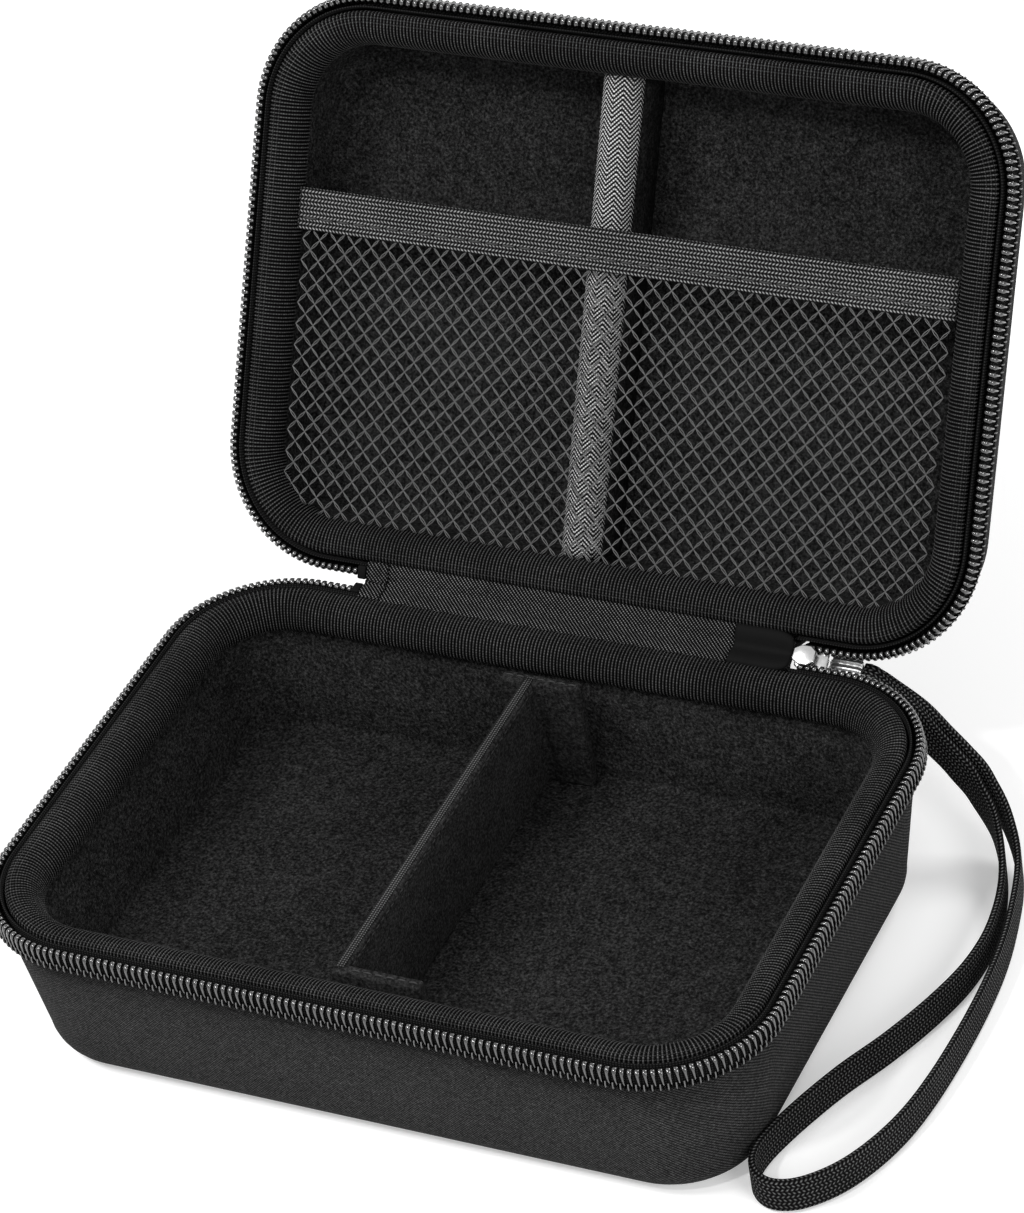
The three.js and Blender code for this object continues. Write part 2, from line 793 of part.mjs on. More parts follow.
// Assembly
const base = new THREE.Group();
base.position.z = baseHeight;
base.add(...shellPieces("base", baseShape), ...dividerPieces());

const lid = new THREE.Group();
lid.rotation.x = Math.PI - openAngle;
lid.position.set(0, axisY, axisZ);
const lidShell = new THREE.Group();
lidShell.position.set(0, axisY, -hingeGap);
lidShell.add(...shellPieces("lid", lidShape), ...lidPartition(), pocketNet(), pocketElastic());
lid.add(lidShell);

const zipperPull = [sliderBody(), pullLink(), strapCrimp()].map(onHingeLine);

const cardCase = new THREE.Group();
cardCase.add(base, lid, ...zipperPull, wristStrap());

export default cardCase;
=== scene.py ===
# %% [markdown]
# A zippered card case, opened. The solid model of the case is loaded first as a fixed frame of
# bodies and joints. Every visible piece is then modelled here in the same metres and axes, and
# tied to the body that carries it, so the case still opens and closes.

# %% Load the frame
import math
from collections import namedtuple

import bmesh
import bpy
from mathutils import Matrix, Vector
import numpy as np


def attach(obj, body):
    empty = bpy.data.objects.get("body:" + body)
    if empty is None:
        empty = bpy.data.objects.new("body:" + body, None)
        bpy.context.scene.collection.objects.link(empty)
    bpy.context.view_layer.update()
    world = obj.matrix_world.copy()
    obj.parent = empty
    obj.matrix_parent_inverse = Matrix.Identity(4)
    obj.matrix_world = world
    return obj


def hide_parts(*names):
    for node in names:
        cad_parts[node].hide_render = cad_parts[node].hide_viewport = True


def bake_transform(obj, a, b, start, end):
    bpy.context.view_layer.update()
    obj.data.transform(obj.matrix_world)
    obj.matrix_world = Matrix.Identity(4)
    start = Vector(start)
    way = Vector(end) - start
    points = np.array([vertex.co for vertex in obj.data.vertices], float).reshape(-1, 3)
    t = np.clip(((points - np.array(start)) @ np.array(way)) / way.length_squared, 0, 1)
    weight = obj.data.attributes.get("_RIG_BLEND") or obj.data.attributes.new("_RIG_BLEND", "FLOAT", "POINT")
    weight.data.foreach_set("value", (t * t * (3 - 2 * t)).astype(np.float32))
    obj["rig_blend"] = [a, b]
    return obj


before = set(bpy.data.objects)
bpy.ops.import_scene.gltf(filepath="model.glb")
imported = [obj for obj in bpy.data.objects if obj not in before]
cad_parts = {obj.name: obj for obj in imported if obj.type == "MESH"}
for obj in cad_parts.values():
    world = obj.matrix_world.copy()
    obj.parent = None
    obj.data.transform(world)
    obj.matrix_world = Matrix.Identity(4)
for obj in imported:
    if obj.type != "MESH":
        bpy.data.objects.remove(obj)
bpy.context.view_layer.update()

# %% [markdown]
# The camera comes first, because everything else is judged through it. It stands in front of the
# case, a little to the right, looking down; these angles came from matching the two rims.
# A long lens keeps the parallel edges nearly parallel, as in a catalogue picture.

# %% Camera
MM = 0.001
AZIMUTH = math.radians(30.31)
ELEVATION = math.radians(37.57)
ROLL = math.radians(-9.83)
CAMERA_DISTANCE = 1.0287
AIM_RIGHT = 11.53 * MM
AIM_UP = 40.45 * MM
LENS = 179.63
SENSOR_WIDTH = 36
BASE_HEIGHT = 40 * MM


def aim_camera():
    back = Vector((
        math.sin(AZIMUTH) * math.cos(ELEVATION),
        -math.cos(AZIMUTH) * math.cos(ELEVATION),
        math.sin(ELEVATION),
    ))
    level = Vector((math.cos(AZIMUTH), math.sin(AZIMUTH), 0))
    steep = back.cross(level)
    right = level * math.cos(ROLL) + steep * math.sin(ROLL)
    up = back.cross(right)
    place = back * CAMERA_DISTANCE + right * AIM_RIGHT + up * AIM_UP
    place.z += BASE_HEIGHT
    turn = Matrix((right, up, back)).transposed().to_4x4()
    return Matrix.Translation(place) @ turn


camera_data = bpy.data.cameras.new("camera")
camera_data.sensor_fit = "HORIZONTAL"
camera_data.sensor_width = SENSOR_WIDTH
camera_data.lens = LENS
camera_data.clip_end = 20
camera = bpy.data.objects.new("camera", camera_data)
camera.matrix_world = aim_camera()
bpy.context.scene.collection.objects.link(camera)
bpy.context.scene.camera = camera
print("camera at", [round(value, 3) for value in camera.matrix_world.translation])

# %% [markdown]
# Most of this case is a strip of something that follows a line: binding and zipper round a rim,
# webbing along a hinge, a strap in a loop. One helper makes them all. It draws a section as a ring
# of edges, extrudes that ring, and moves each new ring to the next station along the line. Every
# point remembers how far along and how far round it is, and that becomes the UV map, in
# millimetres, so that a weave can follow the strip.

# %% Sweep helper
def section_edges(bm, ring, closed):
    pairs = list(zip(ring, ring[1:]))
    if closed:
        pairs.append((ring[-1], ring[0]))
    return [bm.edges.new(pair) for pair in pairs]


def distances(points):
    """Distance from the first point to each of the points, in order."""
    total = [0.0]
    for near, far in zip(points, points[1:]):
        total.append(total[-1] + (far - near).length)
    return total


def sweep(section, stations, closed_section=True, closed_run=False):
    """Extrudes a section of (side, up) pairs through the stations, which are matrices."""
    bm = bmesh.new()
    run_layer = bm.verts.layers.float.new("run")
    round_layer = bm.verts.layers.float.new("round")
    flat = [Vector((side, up, 0)) for side, up in section]
    rounds = distances(flat + flat[:1])
    centre = sum(flat, Vector()) / len(flat)
    centres = [station @ centre for station in stations]
    runs = distances(centres + centres[:1])
    ring = [bm.verts.new(stations[0] @ point) for point in flat]
    for vert, value in zip(ring, rounds):
        vert[round_layer] = value
    edges = section_edges(bm, ring, closed_section)
    first = edges
    for index in range(1, len(stations)):
        made = bmesh.ops.extrude_edge_only(bm, edges=edges)["geom"]
        verts = [item for item in made if isinstance(item, bmesh.types.BMVert)]
        edges = [item for item in made if isinstance(item, bmesh.types.BMEdge)]
        step = stations[index] @ stations[index - 1].inverted()
        bmesh.ops.transform(bm, matrix=step, verts=verts)
        for vert in verts:
            vert[run_layer] = runs[index]
    if closed_run:
        bmesh.ops.bridge_loops(bm, edges=edges + first)
    lay_strip_uv(bm, run_layer, round_layer, runs[-1], rounds[-1])
    if closed_section and not closed_run:
        bmesh.ops.holes_fill(bm, edges=[edge for edge in bm.edges if edge.is_boundary])
    bmesh.ops.recalc_face_normals(bm, faces=bm.faces)
    return bm


def unwrap_value(value, others, period):
    """Keeps a value beside the others on its face where the strip closes on itself."""
    return value + period if max(others) - value > period / 2 else value


def lay_strip_uv(bm, run_layer, round_layer, run_total, round_total):
    uv_layer = bm.loops.layers.uv.new("lay")
    for face in bm.faces:
        face_runs = [vert[run_layer] for vert in face.verts]
        face_rounds = [vert[round_layer] for vert in face.verts]
        for loop in face.loops:
            run = unwrap_value(loop.vert[run_layer], face_runs, run_total)
            around = unwrap_value(loop.vert[round_layer], face_rounds, round_total)
            loop[uv_layer].uv = (run / MM, around / MM)


def to_mesh(name, bm):
    mesh = bpy.data.meshes.new(name)
    bm.to_mesh(mesh)
    bm.free()
    return mesh


def make_piece(name, bm, material, place=None):
    if place is not None:
        bmesh.ops.transform(bm, matrix=place, verts=bm.verts)
    mesh = to_mesh(name, bm)
    for polygon in mesh.polygons:
        polygon.use_smooth = True
    mesh.materials.append(material)
    piece = bpy.data.objects.new(name, mesh)
    bpy.context.scene.collection.objects.link(piece)
    print(name, "faces:", len(mesh.polygons))
    return piece


def settle(piece, body, slot, *nodes):
    """Ties a finished piece to its body, and hides the solids that it stands for."""
    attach(piece, body)
    if nodes:
        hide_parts(*nodes)


# %% [markdown]
# A station says where a section stands: its origin, the section's side and its up. Straight strips
# use one pair of directions throughout. Bars and threads turn theirs with their own line, whose
# heading at each point is read from the two points beside it.

# %% Stations and round sections
RIGHT = Vector((1, 0, 0))
BACK = Vector((0, 1, 0))
UP = Vector((0, 0, 1))
ALONG_X = (BACK, UP)
ALONG_Y = (RIGHT, UP)


def station(origin, side, up):
    """A place whose X is the section's side and whose Y is its up."""
    turn = Matrix((side, up, side.cross(up))).transposed().to_4x4()
    return Matrix.Translation(origin) @ turn


def spaced(start, stop, step):
    """Numbers from start to stop, in equal steps that are no longer than the step."""
    count = math.ceil((stop - start) / step)
    return [start + (stop - start) * k / count for k in range(count + 1)]


def headings(points):
    """Each point, with the direction of the line through its neighbours."""
    last = len(points) - 1
    for index, point in enumerate(points):
        yield point, points[min(index + 1, last)] - points[max(index - 1, 0)]


def bar_stations(points, side, shares=None):
    """Stations of a bar bent in one plane; the shares widen it point by point."""
    shares = shares or [1.0] * len(points)
    return [
        station(point, side * share, ahead.cross(side).normalized())
        for (point, ahead), share in zip(headings(points), shares)
    ]


def thread_stations(points):
    """Stations of a round thread, which keeps one side level."""
    stations = []
    for point, ahead in headings(points):
        side = UP.cross(ahead).normalized()
        stations.append(station(point, side, ahead.cross(side).normalized()))
    return stations


def circle_section(radius, count):
    turns = [math.tau * k / count for k in range(count)]
    return [(radius * math.cos(turn), radius * math.sin(turn)) for turn in turns]


print("0 to 1 in steps of at most 0.3:", spaced(0, 1, 0.3))

# %% [markdown]
# Both halves of the case have the same outline, a rectangle with round corners, and everything on
# a rim runs round it. A run is the distance along that outline from the middle of the hinge side.
# At each run a station stands square to the outline: its side points outwards and its up points
# out of the opening. A section is then written as an inset and a height from the rim.

# %% Outline of the case
HALF_WIDTH = 86 * MM
HALF_DEPTH = 62 * MM
CORNER = 26 * MM
ARC = CORNER * math.pi / 2
SIDE_X = HALF_WIDTH - CORNER
SIDE_Y = HALF_DEPTH - CORNER
STRAIGHTS = (SIDE_X, 2 * SIDE_Y, 2 * SIDE_X, 2 * SIDE_Y, SIDE_X)
OUTLINE = sum(STRAIGHTS) + 4 * ARC
RIB_COUNT = 702
RIB_PITCH = OUTLINE / RIB_COUNT
STEP = 2 * MM

Shape = namedtuple("Shape", "height draft floor_radius floor_rise")
BASE_SHAPE = Shape(height=40.0, draft=5.0, floor_radius=7.0, floor_rise=3.0)
LID_SHAPE = Shape(height=26.0, draft=2.0, floor_radius=11.0, floor_rise=-1.5)

HINGE_GAP = 0.4 * MM
FOLD = Vector((0, HALF_DEPTH + HINGE_GAP, BASE_HEIGHT + HINGE_GAP))
LID_TILT = math.radians(60)
SLIDER_TILT = LID_TILT / 2
ACROSS_FOLD = Vector((0, math.cos(SLIDER_TILT), math.sin(SLIDER_TILT)))

BASE_PLACE = Matrix.Translation((0, 0, BASE_HEIGHT))
LID_PLACE = (
    Matrix.Translation(FOLD)
    @ Matrix.Rotation(LID_TILT, 4, "X")
    @ Matrix.Translation((0, FOLD.y, -HINGE_GAP))
)
# Each half has its place, the side of the hinge on its own Y axis, and its shape.
HALVES = {
    "base": (BASE_PLACE, 1, BASE_SHAPE),
    "lid": (LID_PLACE, -1, LID_SHAPE),
}


def outline_point(run):
    """The point and the outward direction at a run along the outline."""
    point = Vector((0, HALF_DEPTH))
    out = Vector((0, 1))
    for straight in STRAIGHTS:
        heading = Vector((out.y, -out.x))
        if run <= straight:
            return point + heading * run, out
        point = point + heading * straight
        run -= straight
        centre = point - out * CORNER
        turned = Matrix.Rotation(-min(run, ARC) / CORNER, 2) @ out
        if run <= ARC:
            return centre + turned * CORNER, turned
        out = turned
        point = centre + out * CORNER
        run -= ARC
    return point, out


def rim_station(run, hinge_side):
    point, out = outline_point(run % OUTLINE)
    origin = Vector((point.x, point.y * hinge_side, 0))
    return station(origin, Vector((out.x, out.y * hinge_side, 0)), UP)


def rim_stations(hinge_side, start, stop, step):
    return [rim_station(run, hinge_side) for run in spaced(start, stop, step)]


def whole_rim(hinge_side, step):
    return rim_stations(hinge_side, 0, OUTLINE, step)[:-1]


def rim_section(profile_mm):
    """Turns insets and heights in millimetres into a section."""
    return [(-inset * MM, height * MM) for inset, height in profile_mm]


print("outline:", round(OUTLINE, 4), "rib pitch:", round(RIB_PITCH, 6))

# %% [markdown]
# A finish is built from a few number nodes. The helpers below keep those short: a sum, a product
# or a sine is one call. The cloth of this case is nearly black, so what tells one cloth from
# another is the way its threads catch the light. Each cloth gets a height from its weave, and that
# height both tilts the surface and sets its grey: painted shade darkens the gaps between the
# threads, and a painted highlight lightens their crests.

# %% Node helpers
def calc(tree, operation, *values):
    node = tree.nodes.new("ShaderNodeMath")
    node.operation = operation
    for socket, value in zip(node.inputs, values):
        if isinstance(value, bpy.types.NodeSocket):
            tree.links.new(value, socket)
        else:
            socket.default_value = value
    return node.outputs[0]


def uv_axes(tree, turn=0.0):
    """The two distances of the piece's own map, in millimetres, turned by an angle."""
    source = tree.nodes.new("ShaderNodeUVMap")
    source.uv_map = "lay"
    mapping = tree.nodes.new("ShaderNodeMapping")
    mapping.inputs["Rotation"].default_value = (0, 0, turn)
    split = tree.nodes.new("ShaderNodeSeparateXYZ")
    tree.links.new(source.outputs["UV"], mapping.inputs["Vector"])
    tree.links.new(mapping.outputs["Vector"], split.inputs["Vector"])
    return split.outputs["X"], split.outputs["Y"]


def stripes(tree, value, pitch):
    """A wave between 0 and 1 with one crest in each pitch."""
    angle = calc(tree, "MULTIPLY", value, 2 * math.pi / pitch)
    wave = calc(tree, "SINE", angle)
    return calc(tree, "MULTIPLY_ADD", wave, 0.5, 0.5)


def object_noise(tree, scale, detail=3.0, roughness=0.55):
    source = tree.nodes.new("ShaderNodeTexCoord")
    noise = tree.nodes.new("ShaderNodeTexNoise")
    noise.inputs["Scale"].default_value = scale
    noise.inputs["Detail"].default_value = detail
    noise.inputs["Roughness"].default_value = roughness
    tree.links.new(source.outputs["Object"], noise.inputs["Vector"])
    return noise.outputs["Fac"]


def spread(tree, value, gain, middle):
    """Widens a noise, which stays near a half, to swing round another middle."""
    return calc(tree, "MULTIPLY_ADD", value, gain, middle - gain / 2)


def soften(tree, value, share):
    """Lets a wave take away no more than this share."""
    return calc(tree, "MULTIPLY_ADD", value, share, 1 - share)


def new_finish(name, roughness, metallic=0.0, specular=0.5, coat=0.0):
    material = bpy.data.materials.new(name)
    material.use_nodes = True
    tree = material.node_tree
    shader = tree.nodes["Principled BSDF"]
    shader.inputs["Roughness"].default_value = roughness
    shader.inputs["Metallic"].default_value = metallic
    shader.inputs["Specular IOR Level"].default_value = specular
    shader.inputs["Coat Weight"].default_value = coat
    return material, tree, shader


def colour_between(tree, shader, factor, low, high):
    ramp = tree.nodes.new("ShaderNodeMix")
    ramp.data_type = "RGBA"
    tree.links.new(factor, ramp.inputs["Factor"])
    ramp.inputs["A"].default_value = (*low, 1)
    ramp.inputs["B"].default_value = (*high, 1)
    tree.links.new(ramp.outputs["Result"], shader.inputs["Base Color"])


def bump_from(tree, shader, height, distance):
    bump = tree.nodes.new("ShaderNodeBump")
    bump.inputs["Distance"].default_value = distance
    tree.links.new(height, bump.inputs["Height"])
    tree.links.new(bump.outputs["Normal"], shader.inputs["Normal"])


def grey(value):
    return (value, value, value)


# %% [markdown]
# Every cloth starts as a weave: waves along and across the piece's own map, multiplied where the
# threads cross. The shell is a twill at 45 degrees, the binding has ribs across it, the hinge has
# one field of slanted ribs, and the partition's tape has ribs that turn back in rows. The elastic
# is knitted and the strap braided. Plush has no threads to see, so its height is noise alone.

# %% Weave heights
TWILL_RIB = 0.6
TWILL_THREAD = 0.5
THREAD_PITCH = 0.6
KNOT_BAND = 5.0
KNOT_HEIGHT = 0.68
RIB_HEIGHT = 0.8
KNIT_ROW = 0.9
KNIT_LOOP = 0.8
BRAID_PITCH = 0.9
GRAIN_SCALE = 1600
TUFT_SCALE = 420


def twill_height(tree):
    across, along = uv_axes(tree, math.radians(45))
    ribs = stripes(tree, across, TWILL_RIB)
    threads = stripes(tree, along, TWILL_THREAD)
    weave = calc(tree, "MULTIPLY_ADD", threads, 0.2, calc(tree, "MULTIPLY", ribs, 0.45))
    grain = object_noise(tree, GRAIN_SCALE, detail=4, roughness=0.75)
    return calc(tree, "ADD", weave, spread(tree, grain, 1.3, 0.2))


def grosgrain_height(tree):
    """Ribs across the strip, and a faint plain weave between them near the zipper."""
    along, across = uv_axes(tree)
    pitch = RIB_PITCH / MM
    ribs = stripes(tree, along, pitch)
    threads = stripes(tree, across, THREAD_PITCH)
    row = stripes(tree, across, 2 * THREAD_PITCH)
    offset = calc(tree, "MULTIPLY_ADD", row, pitch / 2, along)
    knots = calc(tree, "MULTIPLY", stripes(tree, offset, pitch), threads)
    near_zipper = calc(tree, "LESS_THAN", across, KNOT_BAND)
    weave = calc(tree, "MULTIPLY", knots, calc(tree, "MULTIPLY", near_zipper, KNOT_HEIGHT))
    smooth_ribs = calc(tree, "MULTIPLY", ribs, soften(tree, threads, 0.25))
    return calc(tree, "MAXIMUM", weave, calc(tree, "MULTIPLY", smooth_ribs, RIB_HEIGHT))


def plain_height(tree):
    warp, weft = [stripes(tree, axis, THREAD_PITCH) for axis in uv_axes(tree)]
    return calc(tree, "MULTIPLY", warp, weft)


def herringbone_height(half_width, pitch):
    """Slanted ribs that turn back at every half width, each rib made of short threads."""
    def height(tree):
        along, across = uv_axes(tree)
        zigzag = calc(tree, "PINGPONG", across, half_width)
        ribs = stripes(tree, calc(tree, "ADD", along, zigzag), pitch)
        threads = stripes(tree, calc(tree, "SUBTRACT", along, zigzag), pitch * 0.8)
        return calc(tree, "MULTIPLY", ribs, soften(tree, threads, 0.4))
    return height


def knit_height(tree):
    """Rows along the band, each of loops that lean the other way from the row before."""
    along, across = uv_axes(tree)
    rows = stripes(tree, calc(tree, "SUBTRACT", across, KNIT_ROW / 4), KNIT_ROW)
    leaning = calc(tree, "MULTIPLY_ADD", calc(tree, "PINGPONG", across, KNIT_ROW), 0.8, along)
    loops = stripes(tree, leaning, KNIT_LOOP)
    return calc(tree, "MULTIPLY", soften(tree, rows, 0.7), soften(tree, loops, 0.75))


def braid_height(tree):
    """Short threads in columns across the strap, which lean one way and then the other."""
    along, across = uv_axes(tree)
    columns = stripes(tree, across, BRAID_PITCH)
    shifted = calc(tree, "MULTIPLY_ADD", calc(tree, "PINGPONG", across, BRAID_PITCH), 0.6, along)
    return calc(tree, "MULTIPLY", soften(tree, columns, 0.75), stripes(tree, shifted, BRAID_PITCH))


def plush_height(tree):
    pile = object_noise(tree, GRAIN_SCALE, detail=4, roughness=0.7)
    tufts = object_noise(tree, TUFT_SCALE)
    return calc(tree, "MULTIPLY_ADD", tufts, 0.3, spread(tree, pile, 1.8, 0.25))


print("grosgrain ribs every", round(RIB_PITCH / MM, 3), "mm")

# %% [markdown]
# A cloth turns its height into colour and relief. Low is the painted shade of the gaps, high the
# painted highlight of the crests, and depth the relief in millimetres; the contrast keeps the
# painted highlights narrow. On plush, whose height is noise, they are only the ends of a tone that
# differs at random. Broad patches and fine fibres break up the regular weave, and almost no shine
# is left, as on real cloth.

# %% Cloth finishes
CLOTH_SPECULAR = 0.04
PATCH_SCALE = 60
FIBRE_SCALE = 2500
FIBRE_TINT = 0.7
FIBRE_HEIGHT = 0.2


def cloth(name, height_from, low, high, depth, contrast=1.6, roughness=0.8, mottle=0.2):
    """A cloth whose weave height comes from a function of its tree."""
    material, tree, shader = new_finish(name, roughness, specular=CLOTH_SPECULAR)
    height = height_from(tree)
    patches = object_noise(tree, PATCH_SCALE)
    fibres = object_noise(tree, FIBRE_SCALE, detail=2)
    # The weave height becomes the grey: painted shade in the gaps, a painted highlight on the crests.
    tint = calc(tree, "ADD", height, spread(tree, patches, mottle, 0.0))
    tint = calc(tree, "MULTIPLY", tint, spread(tree, fibres, FIBRE_TINT, 1.0))
    limited = calc(tree, "MAXIMUM", calc(tree, "MINIMUM", tint, 1.0), 0.0)
    lit = calc(tree, "POWER", limited, contrast)
    colour_between(tree, shader, lit, grey(low), grey(high))
    bump_from(tree, shader, calc(tree, "MULTIPLY_ADD", fibres, FIBRE_HEIGHT, height), depth * MM)
    return material


slanted = herringbone_height(14, 0.9)
crown_rows = herringbone_height(2.1, 1.0)
twill = cloth("charcoal_twill", twill_height, 0.003, 0.095, 0.16, contrast=2.2, mottle=0.06)
grosgrain = cloth("ribbed_grosgrain", grosgrain_height, 0.0005, 0.23, 0.1, contrast=4)
tape_weave = cloth("zipper_tape_weave", plain_height, 0.002, 0.03, 0.1)
hinge_weave = cloth("hinge_herringbone", slanted, 0.0005, 0.28, 0.2, contrast=4.5)
ridge_weave = cloth("partition_herringbone", crown_rows, 0.001, 0.95, 0.2, contrast=2.8)
knit = cloth("knitted_elastic", knit_height, 0.001, 0.42, 0.1, contrast=3)
strap_weave = cloth("strap_braid", braid_height, 0.001, 0.18, 0.25, contrast=2.4)
plush = cloth("black_plush", plush_height, 0.002, 0.1, 0.25, contrast=2.2, roughness=0.9)
edge_weave = cloth("divider_edge_weave", plain_height, 0.01, 0.16, 0.1, contrast=1.4)
divider_plush = cloth(
    "divider_plush", plush_height, 0.003, 0.08, 0.2, contrast=1.8, roughness=0.9,
)
print("cloth finishes:", len(bpy.data.materials))

# %% [markdown]
# Hard parts need less: one grey with a fine speckle, and their gloss. The coil is black nylon with
# a clear skin, so each tooth holds one bright dot. The slider and the crimp are plated, and a noise
# dulls the plating here and there. Foam and board are dull and hidden.

# %% Hard finishes
WEAR_SCALE = 900
WEAR_ROUGHNESS = 0.18
WEAR_DEPTH = 0.01 * MM


def moulded(name, colour, roughness, speckle, depth, coat=0.0, specular=0.5):
    """A plain material; speckle is the scale of its grain and depth its relief in millimetres."""
    material, tree, shader = new_finish(name, roughness, coat=coat, specular=specular)
    fine = object_noise(tree, speckle)
    colour_between(tree, shader, fine, grey(colour * 0.8), grey(colour * 1.25))
    bump_from(tree, shader, fine, depth * MM)
    return material


def plated(name, colour, roughness):
    material, tree, shader = new_finish(name, roughness, metallic=1.0)
    wear = object_noise(tree, WEAR_SCALE, detail=4)
    colour_between(tree, shader, wear, grey(colour * 0.9), grey(colour))
    tree.links.new(spread(tree, wear, WEAR_ROUGHNESS, roughness), shader.inputs["Roughness"])
    bump_from(tree, shader, wear, WEAR_DEPTH)
    return material


nylon = moulded("glossy_nylon", 0.003, 0.15, 700, 0.003, coat=0.6, specular=1.0)
coated_tab = moulded("coated_tab", 0.005, 0.7, 1800, 0.02, specular=0.05)
thread = moulded("twisted_thread", 0.11, 0.35, 3000, 0.03)
stitch_thread = moulded("stitch_thread", 0.03, 0.6, 3000, 0.03, specular=0.2)
sewing_thread = moulded("sewing_thread", 0.12, 0.4, 3000, 0.03)
foam = moulded("closed_cell_foam", 0.02, 0.9, 1500, 0.1)
grey_board = moulded("grey_board", 0.15, 0.9, 900, 0.05)
hooks = moulded("fine_hooks", 0.012, 0.6, 2600, 0.3)
nickel = plated("nickel_plate", 0.5, 0.25)
satin_nickel = plated("satin_nickel", 0.75, 0.4)
print("all finishes:", len(bpy.data.materials))

# %% [markdown]
# The wrist strap is one length of flat braid. It leaves the metal crimp lying flat, twists on to
# its edge as it drops behind the corner, runs forward on the floor, turns and comes back. A strap
# this stiff stands on its edge in a loop, so its path can be drawn and swept.

# %% Wrist strap
STRAP_WIDTH = 8 * MM
STRAP_THICKNESS = 1.5 * MM
STRAP_EDGE = 0.6 * MM
STRAP_END_SHARE = 0.7
STRAP_TWIST_LENGTH = 22 * MM
STRAP_STEPS = 320
CURVE_PARTS = 24
STRAP_ROUTE_MM = [
    (62.7, 66.3, 33.7), (65, 66.6, 33.3), (70, 66.7, 29), (77, 65.8, 24),
    (84, 64, 19), (89.5, 62, 14), (95.5, 57, 8.5), (100.5, 48, 5.2),
    (104, 34, 4.5), (106, 20, 4.5), (106.5, 3, 4.5), (105.5, -16, 4.5),
    (103, -30, 4.5), (98, -42, 4.5), (91.5, -49.5, 4.5), (85.5, -51.5, 4.5),
    (81, -48.5, 4.5), (79.8, -42.5, 4.5), (82, -33, 4.5), (87, -19.5, 4.5),
    (93, -7, 4.5), (98, 6, 4.5), (101, 18, 4.5), (101.3, 30, 4.5),
    (98.7, 43.5, 5.2), (93.5, 54.8, 8.5), (87.5, 60, 14), (82.5, 62, 19),
    (76, 63.7, 24), (69.5, 64.6, 29.5), (65, 65.1, 35), (62.7, 65.3, 35.4),
]


def smooth_line(points, steps):
    """A smooth curve through the points, cut into steps of equal length."""
    padded_points = [points[0] * 2 - points[1], *points, points[-1] * 2 - points[-2]]
    fine = []
    for a, b, c, d in zip(padded_points, padded_points[1:], padded_points[2:], padded_points[3:]):
        for part in range(CURVE_PARTS):
            t = part / CURVE_PARTS
            fine.append(0.5 * (
                2 * b + (c - a) * t + (2 * a - 5 * b + 4 * c - d) * t ** 2
                + (3 * b - 3 * c + d - a) * t ** 3
            ))
    fine.append(points[-1])
    along = distances(fine)
    line = []
    place = 0
    for step in range(steps + 1):
        goal = along[-1] * step / steps
        while place < len(fine) - 2 and along[place + 1] < goal:
            place += 1
        share = (goal - along[place]) / (along[place + 1] - along[place])
        line.append(fine[place].lerp(fine[place + 1], share))
    return line


def smooth_share(value, limit):
    share = min(max(value / limit, 0), 1)
    return share * share * (3 - 2 * share)


def rounded_section(width, height, radius, steps=3):
    """A rectangle with round corners, as (side, up) pairs."""
    section = []
    for corner, (sign_side, sign_up) in enumerate(((1, 1), (-1, 1), (-1, -1), (1, -1))):
        centre = (sign_side * (width / 2 - radius), sign_up * (height / 2 - radius))
        for step in range(steps + 1):
            angle = math.pi / 2 * (corner + step / steps)
            section.append((
                centre[0] + radius * math.cos(angle),
                centre[1] + radius * math.sin(angle),
            ))
    return section


def strap_stations(line):
    """Flat at both ends, on edge between them, and a little narrower in the crimp."""
    along = distances(line)
    stations = []
    for run, (point, ahead) in zip(along, headings(line)):
        turned = smooth_share(min(run, along[-1] - run), STRAP_TWIST_LENGTH)
        side = ACROSS_FOLD.lerp(UP, turned).cross(ahead).normalized()
        up = ahead.cross(side).normalized()
        width = STRAP_END_SHARE + (1 - STRAP_END_SHARE) * turned
        stations.append(station(point, side, up) @ Matrix.Diagonal((1, width, 1, 1)))
    return stations, along[-1]


strap_line = smooth_line([Vector(point) * MM for point in STRAP_ROUTE_MM], STRAP_STEPS)
strap_places, strap_length = strap_stations(strap_line)
strap = make_piece(
    "wrist_strap_braid",
    sweep(rounded_section(STRAP_THICKNESS, STRAP_WIDTH, STRAP_EDGE), strap_places),
    strap_weave,
)
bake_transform(strap, "pull", "slider", start=(0.0625, 0.066, 0.0345), end=(0.09, 0.056, 0.012))
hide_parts("wrist_strap")
print("strap length:", round(strap_length, 4))

# %% [markdown]
# Each shell is a hot-pressed sandwich: twill outside, foam, plush inside. The walls lean in a
# little so that the part leaves its mould, and turn into the floor in a generous radius. The foam
# is thicker in the floor of the base, which rests on the table, and thinner in the lid. The two
# cloth faces are what shows; both are swept round the outline and closed with a flat floor.

# %% Shell walls and floors
STANDOUT = 1.6
FABRIC = 0.8
LINING_OFFSET = 5.4
COIL_FOOT = -4.6
BINDING_FOOT = -7.2
WALL_TOP = COIL_FOOT - 0.3
LINING_TOP = -3.5
WALL_STEPS = 9


def wall_lean(height, shape):
    return shape.draft * height / (shape.floor_radius - shape.height)


def wall_profile(offset, shape, top, rise):
    """From the rim down and round to the edge of the floor, in millimetres."""
    foot = shape.floor_radius - shape.height + rise
    radius = shape.floor_radius - offset
    profile = [(STANDOUT + offset + wall_lean(top, shape), top)]
    for step in range(WALL_STEPS + 1):
        angle = math.pi / 2 * step / WALL_STEPS
        inset = STANDOUT + shape.draft + shape.floor_radius - radius * math.cos(angle)
        profile.append((inset, foot - radius * math.sin(angle)))
    return profile


